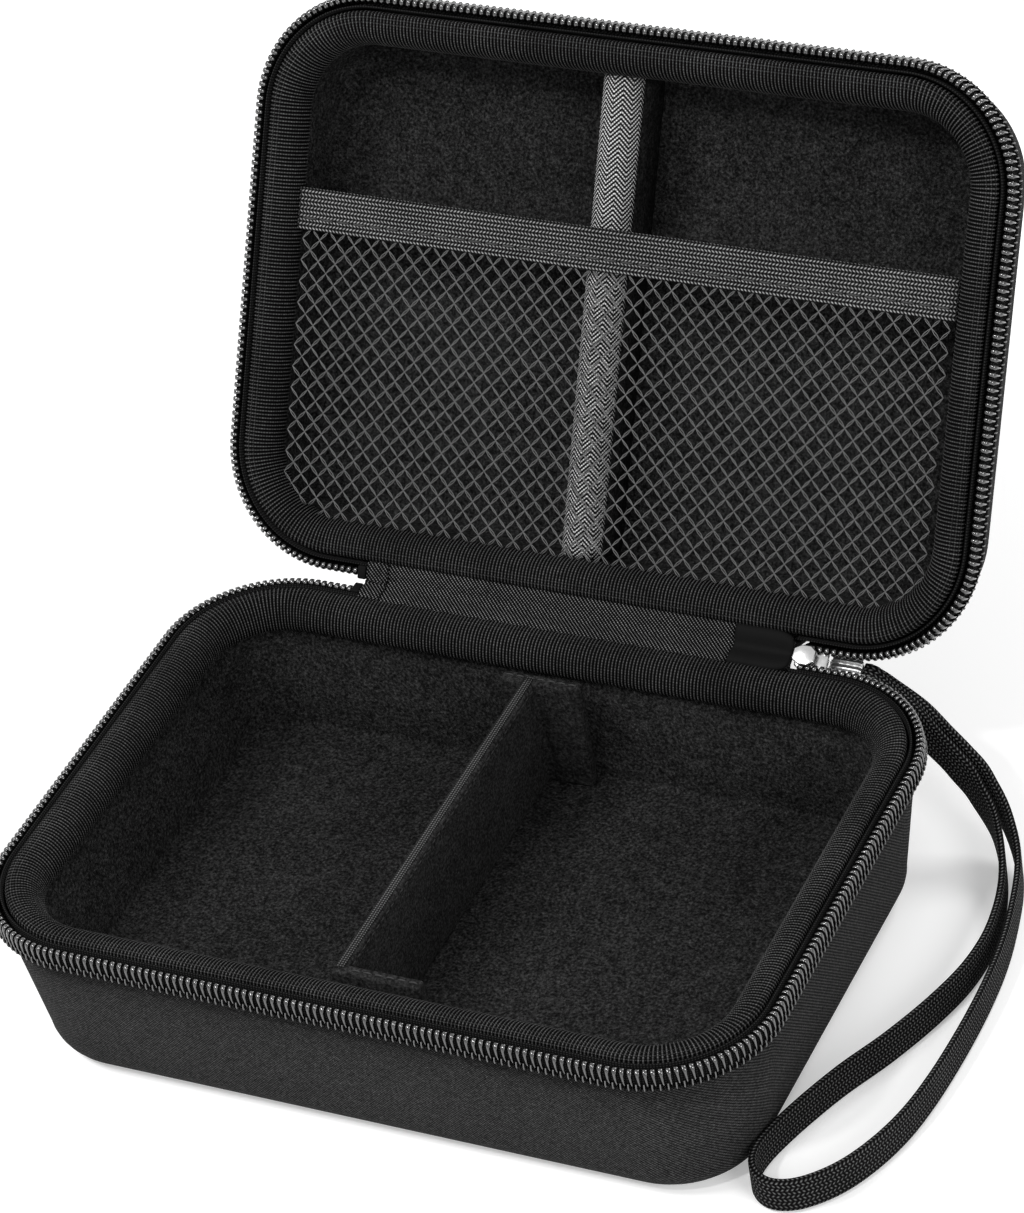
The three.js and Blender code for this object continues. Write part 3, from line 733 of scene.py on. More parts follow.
def fill_floors(bm):
    """Closes the open floor rings, and lays the map straight across them."""
    made = bmesh.ops.holes_fill(bm, edges=[edge for edge in bm.edges if edge.is_boundary])
    uv_layer = bm.loops.layers.uv["lay"]
    for face in made["faces"]:
        for loop in face.loops:
            loop[uv_layer].uv = (loop.vert.co.x / MM, loop.vert.co.y / MM)
    bmesh.ops.recalc_face_normals(bm, faces=bm.faces)


def skin(offset, shape, hinge_side, top, rise=0):
    """One layer of cloth, whose outer face lies this far in from the outer wall."""
    outer = wall_profile(offset, shape, top, rise)
    inner = wall_profile(offset + FABRIC, shape, top, rise)
    section = rim_section([*reversed(outer), *inner])
    bm = sweep(section, whole_rim(hinge_side, STEP), closed_section=False, closed_run=True)
    fill_floors(bm)
    return bm


for half, (place, hinge_side, shape) in HALVES.items():
    outside = skin(0, shape, hinge_side, WALL_TOP)
    piece = make_piece(half + "_twill_skin", outside, twill, place)
    settle(piece, half, "shell_fabric", half + "_outer_fabric")
    inside = skin(LINING_OFFSET, shape, hinge_side, LINING_TOP, shape.floor_rise)
    piece = make_piece(half + "_plush_lining", inside, plush, place)
    settle(piece, half, "lining", half + "_lining")

# %% [markdown]
# A ribbed binding is rolled over each rim and hides the raw edges of the sandwich. Its section is
# a soft hump, low at the zipper and hanging down inside. The ribs run across it. They are real
# shape: the swept roll is cut finely along the rim, and the cloth between the ribs is pressed in.

# %% Rim bindings
BINDING_WRAP = 8.1
BINDING_ROLL = [
    (3.8, -3.0), (3.8, -1.0), (4.05, -0.4), (4.7, -0.05), (5.8, 0.0), (7.0, -0.15),
    (8.2, -0.55), (9.3, -1.3), (10.2, -2.4), (10.8, -3.7), (11.15, -5.0), (11.1, -6.2),
    (10.6, -6.95), (9.8, -7.2),
]


def binding_section(shape):
    wrap = BINDING_WRAP + wall_lean(BINDING_FOOT, shape)
    hidden = [(wrap + 0.1, BINDING_FOOT + 0.1), (wrap, -3.3), (4.2, -3.2)]
    return rim_section([*BINDING_ROLL, *hidden])


def cut_along(bm, cuts):
    """Cuts every edge that runs along the strip into shorter ones."""
    around = bm.verts.layers.float["round"]
    along = [edge for edge in bm.edges if edge.verts[0][around] == edge.verts[1][around]]
    bmesh.ops.subdivide_edges(bm, edges=along, cuts=cuts)


def press_ribs(bm, pitch, depth):
    """Sinks the cloth between the ribs, which stand at one pitch along the map's first number."""
    lay = bm.loops.layers.uv["lay"]
    bm.normal_update()
    for vert in bm.verts:
        run = vert.link_loops[0][lay].uv.x * MM
        sunk = 0.5 - 0.5 * math.sin(math.tau * run / pitch)
        vert.co -= vert.normal * depth * sunk


RIB_DEPTH = 0.34 * MM
RIBS_PER_STATION = 2
STEPS_PER_RIB = 4
for half, (place, hinge_side, shape) in HALVES.items():
    stations = whole_rim(hinge_side, RIB_PITCH * RIBS_PER_STATION)
    bm = sweep(binding_section(shape), stations, closed_run=True)
    cut_along(bm, RIBS_PER_STATION * STEPS_PER_RIB - 1)
    press_ribs(bm, RIB_PITCH, RIB_DEPTH)
    piece = make_piece(half + "_ribbed_binding", bm, grosgrain, place)
    settle(piece, half, "binding", half + "_rim_binding")

# %% [markdown]
# A coil zipper is one nylon thread wound into hairpins and sewn to a tape. Each hairpin stands on
# the outer edge of the rim with its round head up, where it hooks into the other half. One tooth
# is swept along its hairpin, and copies of it are set round the rim at their real pitch.

# %% Zipper teeth
TOOTH_PITCH = 1.55 * MM
TOOTH_RADIUS = 0.23 * MM
ZIPPER_START = 50.2 * MM
ZIPPER_STOP = OUTLINE - 50.0 * MM
HAIRPIN_MM = [
    (2.0, 0.32, -4.5), (2.05, 0.2, -2.8), (2.0, 0.1, -1.3), (1.75, 0.03, -0.62),
    (1.2, 0.0, -0.42), (0.65, -0.03, -0.62), (0.42, -0.1, -1.3), (0.4, -0.25, -2.8),
    (0.6, -0.42, -4.4),
]
HEAD_SHARES = (1.0, 1.0, 1.4, 2.6, 2.2, 2.6, 1.4, 1.0, 1.0)


def tooth_mesh():
    """One hairpin: X is outwards, Y along the rim, Z up."""
    points = [Vector((-inset, along, up)) * MM for inset, along, up in HAIRPIN_MM]
    section = circle_section(TOOTH_RADIUS, 6)
    return to_mesh("tooth", sweep(section, bar_stations(points, BACK, HEAD_SHARES)))


def copies(mesh, places):
    """One bmesh with the mesh repeated at each place."""
    bm = bmesh.new()
    for place in places:
        before = len(bm.verts)
        bm.from_mesh(mesh)
        bm.verts.ensure_lookup_table()
        bmesh.ops.transform(bm, matrix=place, verts=bm.verts[before:])
    bmesh.ops.recalc_face_normals(bm, faces=bm.faces)
    return bm


def tooth_place(run, hinge_side):
    rim = rim_station(run, hinge_side)
    out = rim.col[0].to_3d()
    turn = Matrix((out, UP.cross(out) * -hinge_side, UP)).transposed().to_4x4()
    return Matrix.Translation(rim.translation) @ turn


tooth_count = int((ZIPPER_STOP - ZIPPER_START) / TOOTH_PITCH)
tooth_runs = [ZIPPER_START + TOOTH_PITCH * (k + 0.5) for k in range(tooth_count)]
tooth = tooth_mesh()
for half, (place, hinge_side, _) in HALVES.items():
    bm = copies(tooth, [tooth_place(run, hinge_side) for run in tooth_runs])
    piece = make_piece(half + "_coil_teeth", bm, nylon, place)
    settle(piece, half, "zipper_coil", half + "_zipper_coil")
print("teeth on each half:", tooth_count)

# %% [markdown]
# The hairpins are wound over a cord, which fills the coil and keeps light from showing through it.
# The tape stands behind the coil. A flat oval piping closes the joint between the coil's foot, the
# tape and the wall below, so that no light shows there either.

# %% Coil cord, zipper tape and piping
CORD_SECTION = rim_section([(0.85, -4.3), (1.75, -4.3), (1.75, -1.0), (1.3, -0.8), (0.85, -1.0)])
TAPE_SECTION = rim_section([(2.74, -0.5), (3.24, -0.5), (3.92, -9.0), (3.42, -9.0)])
TAPE_START = 49.0 * MM
TAPE_STOP = OUTLINE - 48.2 * MM
PIPING_RADIUS = 0.42 * MM
PIPING_WIDENING = 2.6
PIPING_INSET = 1.4 * MM
PIPING_HEIGHT = (COIL_FOOT - 0.2) * MM
PIPING_SECTION = [
    (PIPING_WIDENING * side - PIPING_INSET, PIPING_HEIGHT + up)
    for side, up in circle_section(PIPING_RADIUS, 10)
]


def rim_strip(half, name, section, start, stop):
    place, hinge_side, _ = HALVES[half]
    bm = sweep(section, rim_stations(hinge_side, start, stop, STEP))
    return make_piece(half + name, bm, tape_weave, place)


for half in HALVES:
    tape = rim_strip(half, "_tape_strip", TAPE_SECTION, TAPE_START, TAPE_STOP)
    settle(tape, half, "zipper_tape", half + "_zipper_tape")
    cord = rim_strip(half, "_coil_cord", CORD_SECTION, ZIPPER_START, ZIPPER_STOP)
    settle(cord, half, "zipper_coil")
    piping = rim_strip(half, "_coil_piping", PIPING_SECTION, ZIPPER_START, ZIPPER_STOP)
    settle(piping, half, "zipper_tape")

# %% [markdown]
# The hinge is cloth. A woven strip joins the two rims inside, with a crease down its middle, and a
# plain strip of the shell's twill joins the walls outside. Both bend as the lid closes, so each is
# one piece that follows the base on one side of the crease and the lid on the other. The far half
# is the near half mirrored in the plane that stands half way between the rims.

# %% Hinge helpers
WEBBING_FROM = -49.9 * MM
WEBBING_TO = 35.4 * MM
TAB_TO = 48.6 * MM
HALFWAY = Vector((0, -math.cos(LID_TILT), math.sin(LID_TILT)))
BEND_REACH = 0.7 * MM


def mirrored(near_mm):
    """Adds the far half of a path of (y, z) offsets from the fold, in millimetres."""
    far = []
    for y, z in reversed(near_mm):
        along = y * HALFWAY.y + z * HALFWAY.z
        far.append((2 * along * HALFWAY.y - y, 2 * along * HALFWAY.z - z))
    return near_mm + far


def hinge_section(top_mm, under_mm):
    """A closed section in the plane across the hinge; side is +Y and up is +Z."""
    outline = mirrored(top_mm) + mirrored(under_mm)[::-1]
    return [(y * MM, z * MM) for y, z in outline]


def hinge_stations(start, stop, step, size_at=None):
    stations = []
    for x in spaced(start, stop, step):
        size = size_at(x) if size_at else 1.0
        place = station(Vector((x, FOLD.y, FOLD.z)), *ALONG_X)
        stations.append(place @ Matrix.Diagonal((size, size, 1, 1)))
    return stations


def bend_with_hinge(piece, slot, *nodes):
    reach = ACROSS_FOLD * BEND_REACH
    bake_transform(piece, "base", "lid", start=FOLD - reach, end=FOLD + reach)
    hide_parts(*nodes)


print("the fold is at", [round(value, 4) for value in FOLD])

# %% [markdown]
# The webbing dips to a crease at the fold, and is thin enough there to bend. Its left end is turned
# under and sewn down, which shows as a second layer; so the hem is the webbing's own top line,
# raised a little and swept over a few millimetres.

# %% Hinge webbing and hem
WEBBING_TOP = [
    (-4.3, -1.1), (-3.8, -0.7), (-2.9, -0.42), (-1.9, -0.42), (-1.1, -0.5), (-0.55, -0.5),
    (-0.22, -0.3), (-0.06, -0.02),
]
WEBBING_UNDER = [
    (-4.3, -1.6), (-3.6, -1.6), (-2.6, -1.35), (-1.6, -1.3), (-0.8, -1.3), (-0.3, -1.2),
    (0.1, -0.9), (0.3, -0.55),
]
section = hinge_section(WEBBING_TOP, WEBBING_UNDER)
bm = sweep(section, hinge_stations(WEBBING_FROM, WEBBING_TO, STEP))
webbing = make_piece("hinge_webbing_strip", bm, hinge_weave)
bend_with_hinge(webbing, "webbing", "hinge_webbing_base", "hinge_webbing_lid")

HEM_LENGTH = 5 * MM
HEM_TOP = [(y, z + 0.45) for y, z in WEBBING_TOP]
HEM_UNDER = [(y, z + 0.05) for y, z in WEBBING_TOP]
section = hinge_section(HEM_TOP, HEM_UNDER)
bm = sweep(section, hinge_stations(WEBBING_FROM, WEBBING_FROM + HEM_LENGTH, 1 * MM))
hem = make_piece("hinge_webbing_hem", bm, hinge_weave)
bend_with_hinge(hem, "webbing")

# %% [markdown]
# The webbing's right end is covered by a smooth black tab. It is the same kind of strip, but its
# section shrinks along a quarter circle towards the slider, which gives it a round end.

# %% Hinge end tab
TAB_ROUND = 4.5 * MM
TAB_NARROWING = 0.45


def tab_size(x):
    past = max(x - (TAB_TO - TAB_ROUND), 0) / TAB_ROUND
    return 1 - TAB_NARROWING * (1 - math.sqrt(max(1 - past * past, 0)))


TAB_TOP = [
    (-4.5, -1.0), (-4.2, -0.5), (-3.4, -0.1), (-2.3, 0.0), (-1.2, -0.05), (-0.5, -0.1),
    (-0.1, 0.1),
]
TAB_UNDER = [
    (-4.5, -1.4), (-4.0, -1.5), (-3.2, -1.5), (-2.2, -1.5), (-1.2, -1.45), (-0.4, -1.3),
    (0.35, -0.7),
]
section = hinge_section(TAB_TOP, TAB_UNDER)
bm = sweep(section, hinge_stations(WEBBING_TO + 0.1 * MM, TAB_TO, 0.6 * MM, tab_size))
tab = make_piece("hinge_end_tab_fold", bm, coated_tab)
bend_with_hinge(tab, "end_tab", "hinge_end_tab_base", "hinge_end_tab_lid")

# %% [markdown]
# Outside, the shell's own twill runs over the hinge from wall to wall. This strip lies on both
# walls and passes the fold in one smooth bow.

# %% Outer hinge strip
SPINE_OUTER = [
    (-2.1, -13.2), (-1.75, -10.0), (-1.3, -6.5), (-1.0, -3.4), (-0.85, -2.6), (-0.4, -2.15),
    (0.3, -1.85), (0.85, -1.5),
]
SPINE_INNER = [
    (-2.75, -13.1), (-2.4, -9.9), (-1.95, -6.5), (-1.7, -3.4), (-1.5, -2.3), (-0.9, -1.75),
    (-0.1, -1.45), (0.45, -1.05),
]
section = hinge_section(SPINE_OUTER, SPINE_INNER)
bm = sweep(section, hinge_stations(WEBBING_FROM, TAB_TO - 0.4 * MM, STEP))
spine = make_piece("hinge_spine_strip", bm, twill)
bend_with_hinge(spine, "shell_fabric", "hinge_spine_base", "hinge_spine_lid")

# %% [markdown]
# Small hard parts start as a block or as a flat outline that is raised. All their edges are then
# bevelled, which is how a casting or a folded plate catches a thin line of light.

# %% Block helpers
def round_edges(bm, bevel_mm, segments):
    bmesh.ops.bevel(
        bm, geom=bm.edges[:], offset=bevel_mm * MM, offset_type="OFFSET", segments=segments,
        profile=0.5, affect="EDGES", material=-1,
    )


def block(low_mm, high_mm, bevel_mm):
    bm = bmesh.new()
    bmesh.ops.create_cube(bm, size=1)
    low, high = Vector(low_mm) * MM, Vector(high_mm) * MM
    fit = Matrix.Translation((low + high) / 2) @ Matrix.Diagonal((*(high - low), 1))
    bmesh.ops.transform(bm, matrix=fit, verts=bm.verts)
    round_edges(bm, bevel_mm, 2)
    return bm


def raised_plan(corners_mm, rise_mm, bevel_mm):
    """Draws a flat outline, raises it and rounds its edges."""
    bm = bmesh.new()
    plan = bm.faces.new([bm.verts.new(Vector(corner) * MM) for corner in corners_mm])
    raised = bmesh.ops.extrude_face_region(bm, geom=[plan])["geom"]
    top = [item for item in raised if isinstance(item, bmesh.types.BMVert)]
    bmesh.ops.translate(bm, vec=(0, 0, rise_mm * MM), verts=top)
    bmesh.ops.recalc_face_normals(bm, faces=bm.faces)
    round_edges(bm, bevel_mm, 3)
    return bm


def add_mesh(bm, other):
    """Moves the faces of another bmesh into this one."""
    mesh = to_mesh("part", other)
    bm.from_mesh(mesh)
    bpy.data.meshes.remove(mesh)


# %% [markdown]
# Each coil ends beside the hinge's left end in a stop, a dark staple pressed over the last tooth.
# At this size a block with soft edges says enough.

# %% Zipper stops
STOP_X = (-52.3, -50.3)
STOP_Y = (59.3, 62.2)
STOP_Z = (-4.9, 0.05)
STOP_BEVEL = 0.35
for half, (place, hinge_side, _) in HALVES.items():
    near, far = sorted(y * hinge_side for y in STOP_Y)
    bm = block((STOP_X[0], near, STOP_Z[0]), (STOP_X[1], far, STOP_Z[1]), STOP_BEVEL)
    stop = make_piece(half + "_stop_staple", bm, coated_tab, place)
    settle(stop, half, "zipper_coil", half + "_zipper_stop")

# %% [markdown]
# The lid holds a pocket of net under an elastic band. The net is knotless: pairs of thin threads
# run down in zigzags and touch their neighbours at every turn, which leaves diamonds. Each zigzag
# is swept as one unbroken thread, and stops where the lid's round corners cut the pocket off.

# %% Pocket net
NET_DROP = -4.35
NET_TOP = 10.4
NET_CELL_WIDTH = 4.1
NET_CELL_HEIGHT = 4.6
NET_THREAD = 0.11 * MM
NET_PAIR_GAP = 0.288
NET_CROSSING_LIFT = 0.12
NET_STEPS = 4
POCKET_INSET = 10.6


def pocket_foot(x):
    """How far down the net reaches at x, in the lid's own millimetres."""
    half_x = HALF_WIDTH / MM - POCKET_INSET
    radius = CORNER / MM - POCKET_INSET
    over = max(abs(x) - (half_x - radius), 0)
    return POCKET_INSET - HALF_DEPTH / MM + radius - math.sqrt(max(radius ** 2 - over ** 2, 0))


def zigzag(column, strand):
    """One thread of a pair, from the elastic to the foot of the pocket."""
    points = []
    middle = (column + 0.5) * NET_CELL_WIDTH / 2
    swing = NET_CELL_WIDTH / 4 * (1 if column % 2 else -1)
    step = 0
    while True:
        turn = step / NET_STEPS
        y = NET_TOP - turn * NET_CELL_HEIGHT / 2
        share = 1 - 2 * abs((turn % 2) - 1)
        x = middle + swing * share + strand * NET_PAIR_GAP * (1 - abs(share))
        lift = NET_CROSSING_LIFT * strand * math.cos(math.pi * turn / 2)
        if y < pocket_foot(x):
            return points
        points.append(Vector((x, y, NET_DROP + lift)) * MM)
        step += 1


net = bmesh.new()
columns = int((HALF_WIDTH / MM - POCKET_INSET) / (NET_CELL_WIDTH / 2))
for column in range(-columns, columns):
    for strand in (-1, 1):
        points = zigzag(column, strand)
        if len(points) > 2:
            add_mesh(net, sweep(circle_section(NET_THREAD, 4), thread_stations(points)))
net_piece = make_piece("pocket_net_threads", net, thread, LID_PLACE)
settle(net_piece, "lid", "net", "pocket_net")

# %% [markdown]
# The elastic holds the mouth of the pocket shut. It is a flat knitted band with a shallow rib for
# every row of stitches, so the ribs are drawn in its section and the loops left to its finish.

# %% Elastic band
ELASTIC_SIDE = 75.0 * MM
ELASTIC_STEP = 3 * MM
ELASTIC_LOW = 10.0
ELASTIC_WIDTH = 9.0
ELASTIC_TOP = -3.85
ELASTIC_THICKNESS = 0.7 * MM
ELASTIC_ROWS = 10
ELASTIC_RIB = 0.1
STEPS_PER_ROW = 4


def elastic_section():
    """Width is the section's side and thickness its up."""
    top = []
    steps = ELASTIC_ROWS * STEPS_PER_ROW
    for step in range(steps + 1):
        across = ELASTIC_LOW + ELASTIC_WIDTH * step / steps
        rib = abs(math.sin(math.pi * ELASTIC_ROWS * step / steps))
        top.append((across * MM, (ELASTIC_TOP - ELASTIC_RIB * (1 - rib)) * MM))
    under = [(side, up - ELASTIC_THICKNESS) for side, up in (top[-1], top[0])]
    return top + under


runs = spaced(-ELASTIC_SIDE, ELASTIC_SIDE, ELASTIC_STEP)
bm = sweep(elastic_section(), [station(RIGHT * run, *ALONG_X) for run in runs])
elastic = make_piece("pocket_elastic_band", bm, knit, LID_PLACE)
settle(elastic, "lid", "elastic", "pocket_elastic")

# %% [markdown]
# Stitches show wherever two cloths meet. One stitch is a short round thread that dips at both ends,
# and copies of it are set along a line at the sewing machine's pitch. On the coil they are set at
# the pitch of the teeth, upright on the outer face, where they hold each hairpin to the tape.

# %% Stitches on the elastic and the coil
def stitch_mesh(length_mm, radius_mm):
    """One stitch along X, arched a little out of the cloth."""
    points = []
    for step in range(5):
        share = step / 4
        rise = (1.1 * math.sin(math.pi * share) - 0.5) * radius_mm
        points.append(Vector(((share - 0.5) * length_mm, 0, rise)) * MM)
    return to_mesh("stitch", sweep(circle_section(radius_mm * MM, 6), thread_stations(points)))


def stitch_line(start_mm, stop_mm, up, pitch_mm):
    """Places along a line, facing up, for stitches of one pitch."""
    start, stop = Vector(start_mm) * MM, Vector(stop_mm) * MM
    along = (stop - start).normalized()
    across = up.cross(along).normalized()
    count = int((stop - start).length / (pitch_mm * MM))
    middles = [start + (stop - start) * (k + 0.5) / count for k in range(count)]
    return [station(middle, along, across) for middle in middles]


BAND_SEAM = ((-74, 12.6, -3.75), (74, 12.6, -3.75), UP, 3.8)
band_stitches = copies(stitch_mesh(2.8, 0.24), stitch_line(*BAND_SEAM))
piece = make_piece("elastic_stitches", band_stitches, stitch_thread, LID_PLACE)
settle(piece, "lid", "elastic")

coil_stitch = stitch_mesh(1.5, 0.15)
upright = Matrix(((0, 0, 1), (0, -1, 0), (1, 0, 0))).to_4x4()
on_foot = Matrix.Translation(Vector((-0.12, 0.35, -3.9)) * MM) @ upright
for half, (place, hinge_side, _) in HALVES.items():
    bm = copies(coil_stitch, [tooth_place(run, hinge_side) @ on_foot for run in tooth_runs])
    piece = make_piece(half + "_coil_stitches", bm, sewing_thread, place)
    settle(piece, half, "zipper_coil")

# %% [markdown]
# A padded bar splits the lid in two. It is foam under plush, with a round crown, and a herringbone
# tape is sewn over that crown. Both sections share one arc; the tape's is a thin ring cut short.

# %% Lid partition
PARTITION_X = -4.6
PARTITION_HALF = 4.25
PARTITION_TOP = -5.6
PARTITION_FOOT = -20.9
PARTITION_REACH = 50.8 * MM
CROWN_STEPS = 16
TAPE_HALF_THICKNESS = 0.3
TAPE_REACH = 86


def crown_arc(radius, reach):
    """Points over the crown from left to right; the reach is in degrees to either side."""
    arc = []
    for step in range(CROWN_STEPS + 1):
        turn = math.radians(reach) * (1 - 2 * step / CROWN_STEPS)
        side = PARTITION_X - radius * math.sin(turn)
        up = PARTITION_TOP - PARTITION_HALF + radius * math.cos(turn)
        arc.append((side * MM, up * MM))
    return arc


left, right = [(PARTITION_X + PARTITION_HALF * sign) * MM for sign in (-1, 1)]
foot = PARTITION_FOOT * MM
bar = [(left, foot), *crown_arc(PARTITION_HALF, 90), (right, foot)]
places = [station(BACK * y, *ALONG_Y) for y in spaced(-PARTITION_REACH, PARTITION_REACH, STEP)]
partition = make_piece("partition_plush_cover", sweep(bar, places), plush, LID_PLACE)
settle(partition, "lid", "webbing", "partition_cover")

over = crown_arc(PARTITION_HALF + TAPE_HALF_THICKNESS, TAPE_REACH)
under = crown_arc(PARTITION_HALF - TAPE_HALF_THICKNESS, TAPE_REACH)
tape = sweep(over + under[::-1], places)
crown = make_piece("partition_crown_tape", tape, ridge_weave, LID_PLACE)
settle(crown, "lid", "webbing")

# %% [markdown]
# The divider is a stiff board wrapped in cloth. Seen from above it is a thin wall with a foot at
# each end, where hook tape grips the lining. Its outline is drawn once, raised, and its edges are
# rounded by a bevel.

# %% Divider
DIVIDER_OUTLINE = [
    (-6.0, -47.7), (13.5, -47.7), (13.5, -44.7), (-3.0, -44.7), (-3.0, 44.7), (7.0, 44.7),
    (7.0, 47.7), (-11.0, 47.7), (-11.0, 44.7), (-6.0, 44.7),
]
DIVIDER_FOOT = -30.3
DIVIDER_TOP = -4.0
DIVIDER_BEVEL = 0.7

plan = [(x, y, DIVIDER_FOOT) for x, y in DIVIDER_OUTLINE]
board = raised_plan(plan, DIVIDER_TOP - DIVIDER_FOOT, DIVIDER_BEVEL)
divider = make_piece("divider_cloth_cover", board, divider_plush, BASE_PLACE)
settle(divider, "divider", "divider_cloth", "divider_cover")

# %% [markdown]
# A narrow tape closes the cover along the board's top edge, and three seams follow it and the feet.

# %% Divider's edge tape and seams
EDGE_X = -4.5
EDGE_HALF_LENGTH = 46
EDGE_HEIGHT = DIVIDER_TOP + 0.12
edge_section = rounded_section(1.7 * MM, 0.5 * MM, 0.2 * MM, 2)
edge_places = [
    station(Vector((EDGE_X, y, EDGE_HEIGHT)) * MM, *ALONG_Y)
    for y in spaced(-EDGE_HALF_LENGTH, EDGE_HALF_LENGTH, 2)
]
edge_tape = sweep(edge_section, edge_places)
piece = make_piece("divider_edge_tape", edge_tape, edge_weave, BASE_PLACE)
settle(piece, "divider", "divider_cloth")

SEAM_PITCH = 2.2
SEAMS = (
    ((-3.15, -44.0, -5.2), (-3.15, 44.3, -5.2), RIGHT),
    ((-10.3, 46.2, -3.95), (6.4, 46.2, -3.95), UP),
    ((-2.0, -46.2, -3.95), (13.0, -46.2, -3.95), UP),
)
seam_places = [place for seam in SEAMS for place in stitch_line(*seam, SEAM_PITCH)]
seams = copies(stitch_mesh(1.7, 0.2), seam_places)
piece = make_piece("divider_stitches", seams, stitch_thread, BASE_PLACE)
settle(piece, "divider", "divider_cloth")

# %% [markdown]
# The slider, its link and the crimp are plated metal, and small, so their edges matter more than
# their faces. They are drawn flat, with the hinge line as X, then turned to face half way between
# the two rims, where the zipper parks.

# %% Slider
PULL_PLACE = Matrix.Translation(FOLD) @ Matrix.Rotation(SLIDER_TILT, 4, "X")
SLIDER_X = 49.1
SLIDER_PLAN = [
    (0, -1.8), (2.3, -3.2), (5.2, -3.2), (7.0, -1.8), (7.0, 1.8), (5.2, 3.2), (2.3, 3.2), (0, 1.8),
]
SLIDER_BEVEL = 0.28
INNER_PLATE_SHARE = 0.68
BAR_STEPS = 24


def slider_plate(low, high, share):
    plan = [(SLIDER_X + x * share, y * share, low) for x, y in SLIDER_PLAN]
    return raised_plan(plan, high - low, SLIDER_BEVEL)


def bent_bar(points_mm, width_mm, thickness_mm, side):
    """A flat bar with round edges that follows a line of points."""
    line = smooth_line([Vector(point) * MM for point in points_mm], BAR_STEPS)
    section = rounded_section(width_mm * MM, thickness_mm * MM, thickness_mm * 0.4 * MM, 2)
    return sweep(section, bar_stations(line, side))


slider = slider_plate(-1.5, -0.6, 1)
add_mesh(slider, slider_plate(0.6, 1.5, INNER_PLATE_SHARE))
add_mesh(slider, block((SLIDER_X, -1.1, -1.4), (SLIDER_X + 3.5, 1.1, 1.4), 0.3))
bail = [
    (SLIDER_X + 0.35, 0, -1.2), (SLIDER_X + 0.35, 0, -3.5), (SLIDER_X + 0.8, 0, -4.25),
    (SLIDER_X + 2.6, 0, -4.25), (SLIDER_X + 3.05, 0, -3.5), (SLIDER_X + 3.05, 0, -1.2),
]
add_mesh(slider, bent_bar(bail, 2.0, 0.8, BACK))
slider_piece = make_piece("slider_casting", slider, nickel, PULL_PLACE)
settle(slider_piece, "slider", "bright_metal", "slider_body")

# %% [markdown]
# A small link of round wire hangs in the slider's bail, and its open ends hold a tongue that goes
# into the crimp.

# %% Pull link
LINK_Z = -3.2
LINK_LOOP = [
    (54.4, 1.4, -4.7), (53.5, 1.3, -3.6), (51.9, 1.2, LINK_Z), (50.95, 0.9, LINK_Z),
    (50.8, 0, LINK_Z), (50.95, -0.9, LINK_Z), (51.9, -1.2, LINK_Z), (53.5, -1.3, -3.6),
    (54.4, -1.4, -4.7),
]
link_line = smooth_line([Vector(point) * MM for point in LINK_LOOP], 40)
link = sweep(circle_section(0.42 * MM, 10), thread_stations(link_line))
tongue = [(54.2, y, -5.3) for y in (-2.0, -1.0, 1.0, 2.0)]
add_mesh(link, bent_bar(tongue, 1.0, 1.5, RIGHT))
link_piece = make_piece("pull_link_loop", link, nickel, PULL_PLACE)
settle(link_piece, "pull", "bright_metal", "pull_link")

# %% [markdown]
# The crimp is a flat tube pressed round the strap's two ends. Its two broad faces are fluted, and
# its section shrinks a little at each end, where the sheet is drawn in.

# %% Strap crimp
CRIMP_START = 54.9
CRIMP_HALF = 3.3
CRIMP_LOW = -8.55
CRIMP_TOP = -4.95
CRIMP_MIDDLE = (CRIMP_LOW + CRIMP_TOP) / 2
CRIMP_RIBS = 4
CRIMP_FLUTE = 0.45
CRIMP_TAPER = [(0, 0.7), (0.4, 0.86), (1.2, 1.0), (3.5, 1.0), (6.3, 1.0), (6.9, 0.93), (7.2, 0.84)]


def crimp_section():
    """A flat box section whose two broad faces are fluted; side is the pull's width."""
    half_up = (CRIMP_TOP - CRIMP_LOW) / 2
    steps = CRIMP_RIBS * 6
    face = []
    for step in range(steps + 1):
        share = step / steps
        groove = 0.5 - 0.5 * math.cos(math.tau * CRIMP_RIBS * share)
        edge = min(share, 1 - share) * 8
        up = half_up * min(1, 0.75 + 0.25 * edge) - CRIMP_FLUTE * (1 - groove) * min(edge, 1)
        face.append((CRIMP_HALF * (2 * share - 1), up))
    back = [(-side, -up) for side, up in face]
    return [(side * MM, up * MM) for side, up in face + back]


crimp_places = []
for along, size in CRIMP_TAPER:
    centre = Vector((CRIMP_START + along, 0, CRIMP_MIDDLE)) * MM
    crimp_places.append(station(centre, *ALONG_X) @ Matrix.Diagonal((size, size, 1, 1)))
crimp = sweep(crimp_section(), crimp_places)
piece = make_piece("strap_crimp_shell", crimp, satin_nickel, PULL_PLACE)
settle(piece, "pull", "bright_metal", "strap_crimp")

# %% [markdown]
# What stays hidden keeps its solid from the frame and only gets its finish: the foam between the
# cloths, the board in the divider, the padding in the partition and the hook tape on the divider.

# %% Finishes of the solids that stay
KEPT_FINISHES = {
    "base_foam_shell": foam, "lid_foam_shell": foam, "partition_core": foam,
    "divider_board": grey_board, "divider_hook_back": hooks, "divider_hook_front": hooks,
}
for node, finish in KEPT_FINISHES.items():
    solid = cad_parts[node]
    if not solid.data.materials:
        solid.data.materials.append(finish)
    for material_slot in solid.material_slots:
        material_slot.link = "OBJECT"
        material_slot.material = finish
print("solids kept:", len(KEPT_FINISHES))

# %% [markdown]
# The studio is a pale floor under large soft lamps. The floor turns pure white where the camera,
# a mirror or a clear piece looks at it, as in a cut-out catalogue picture, but it still takes the
# shadow of the case. The lamps stay low enough for a black cloth to stay black.

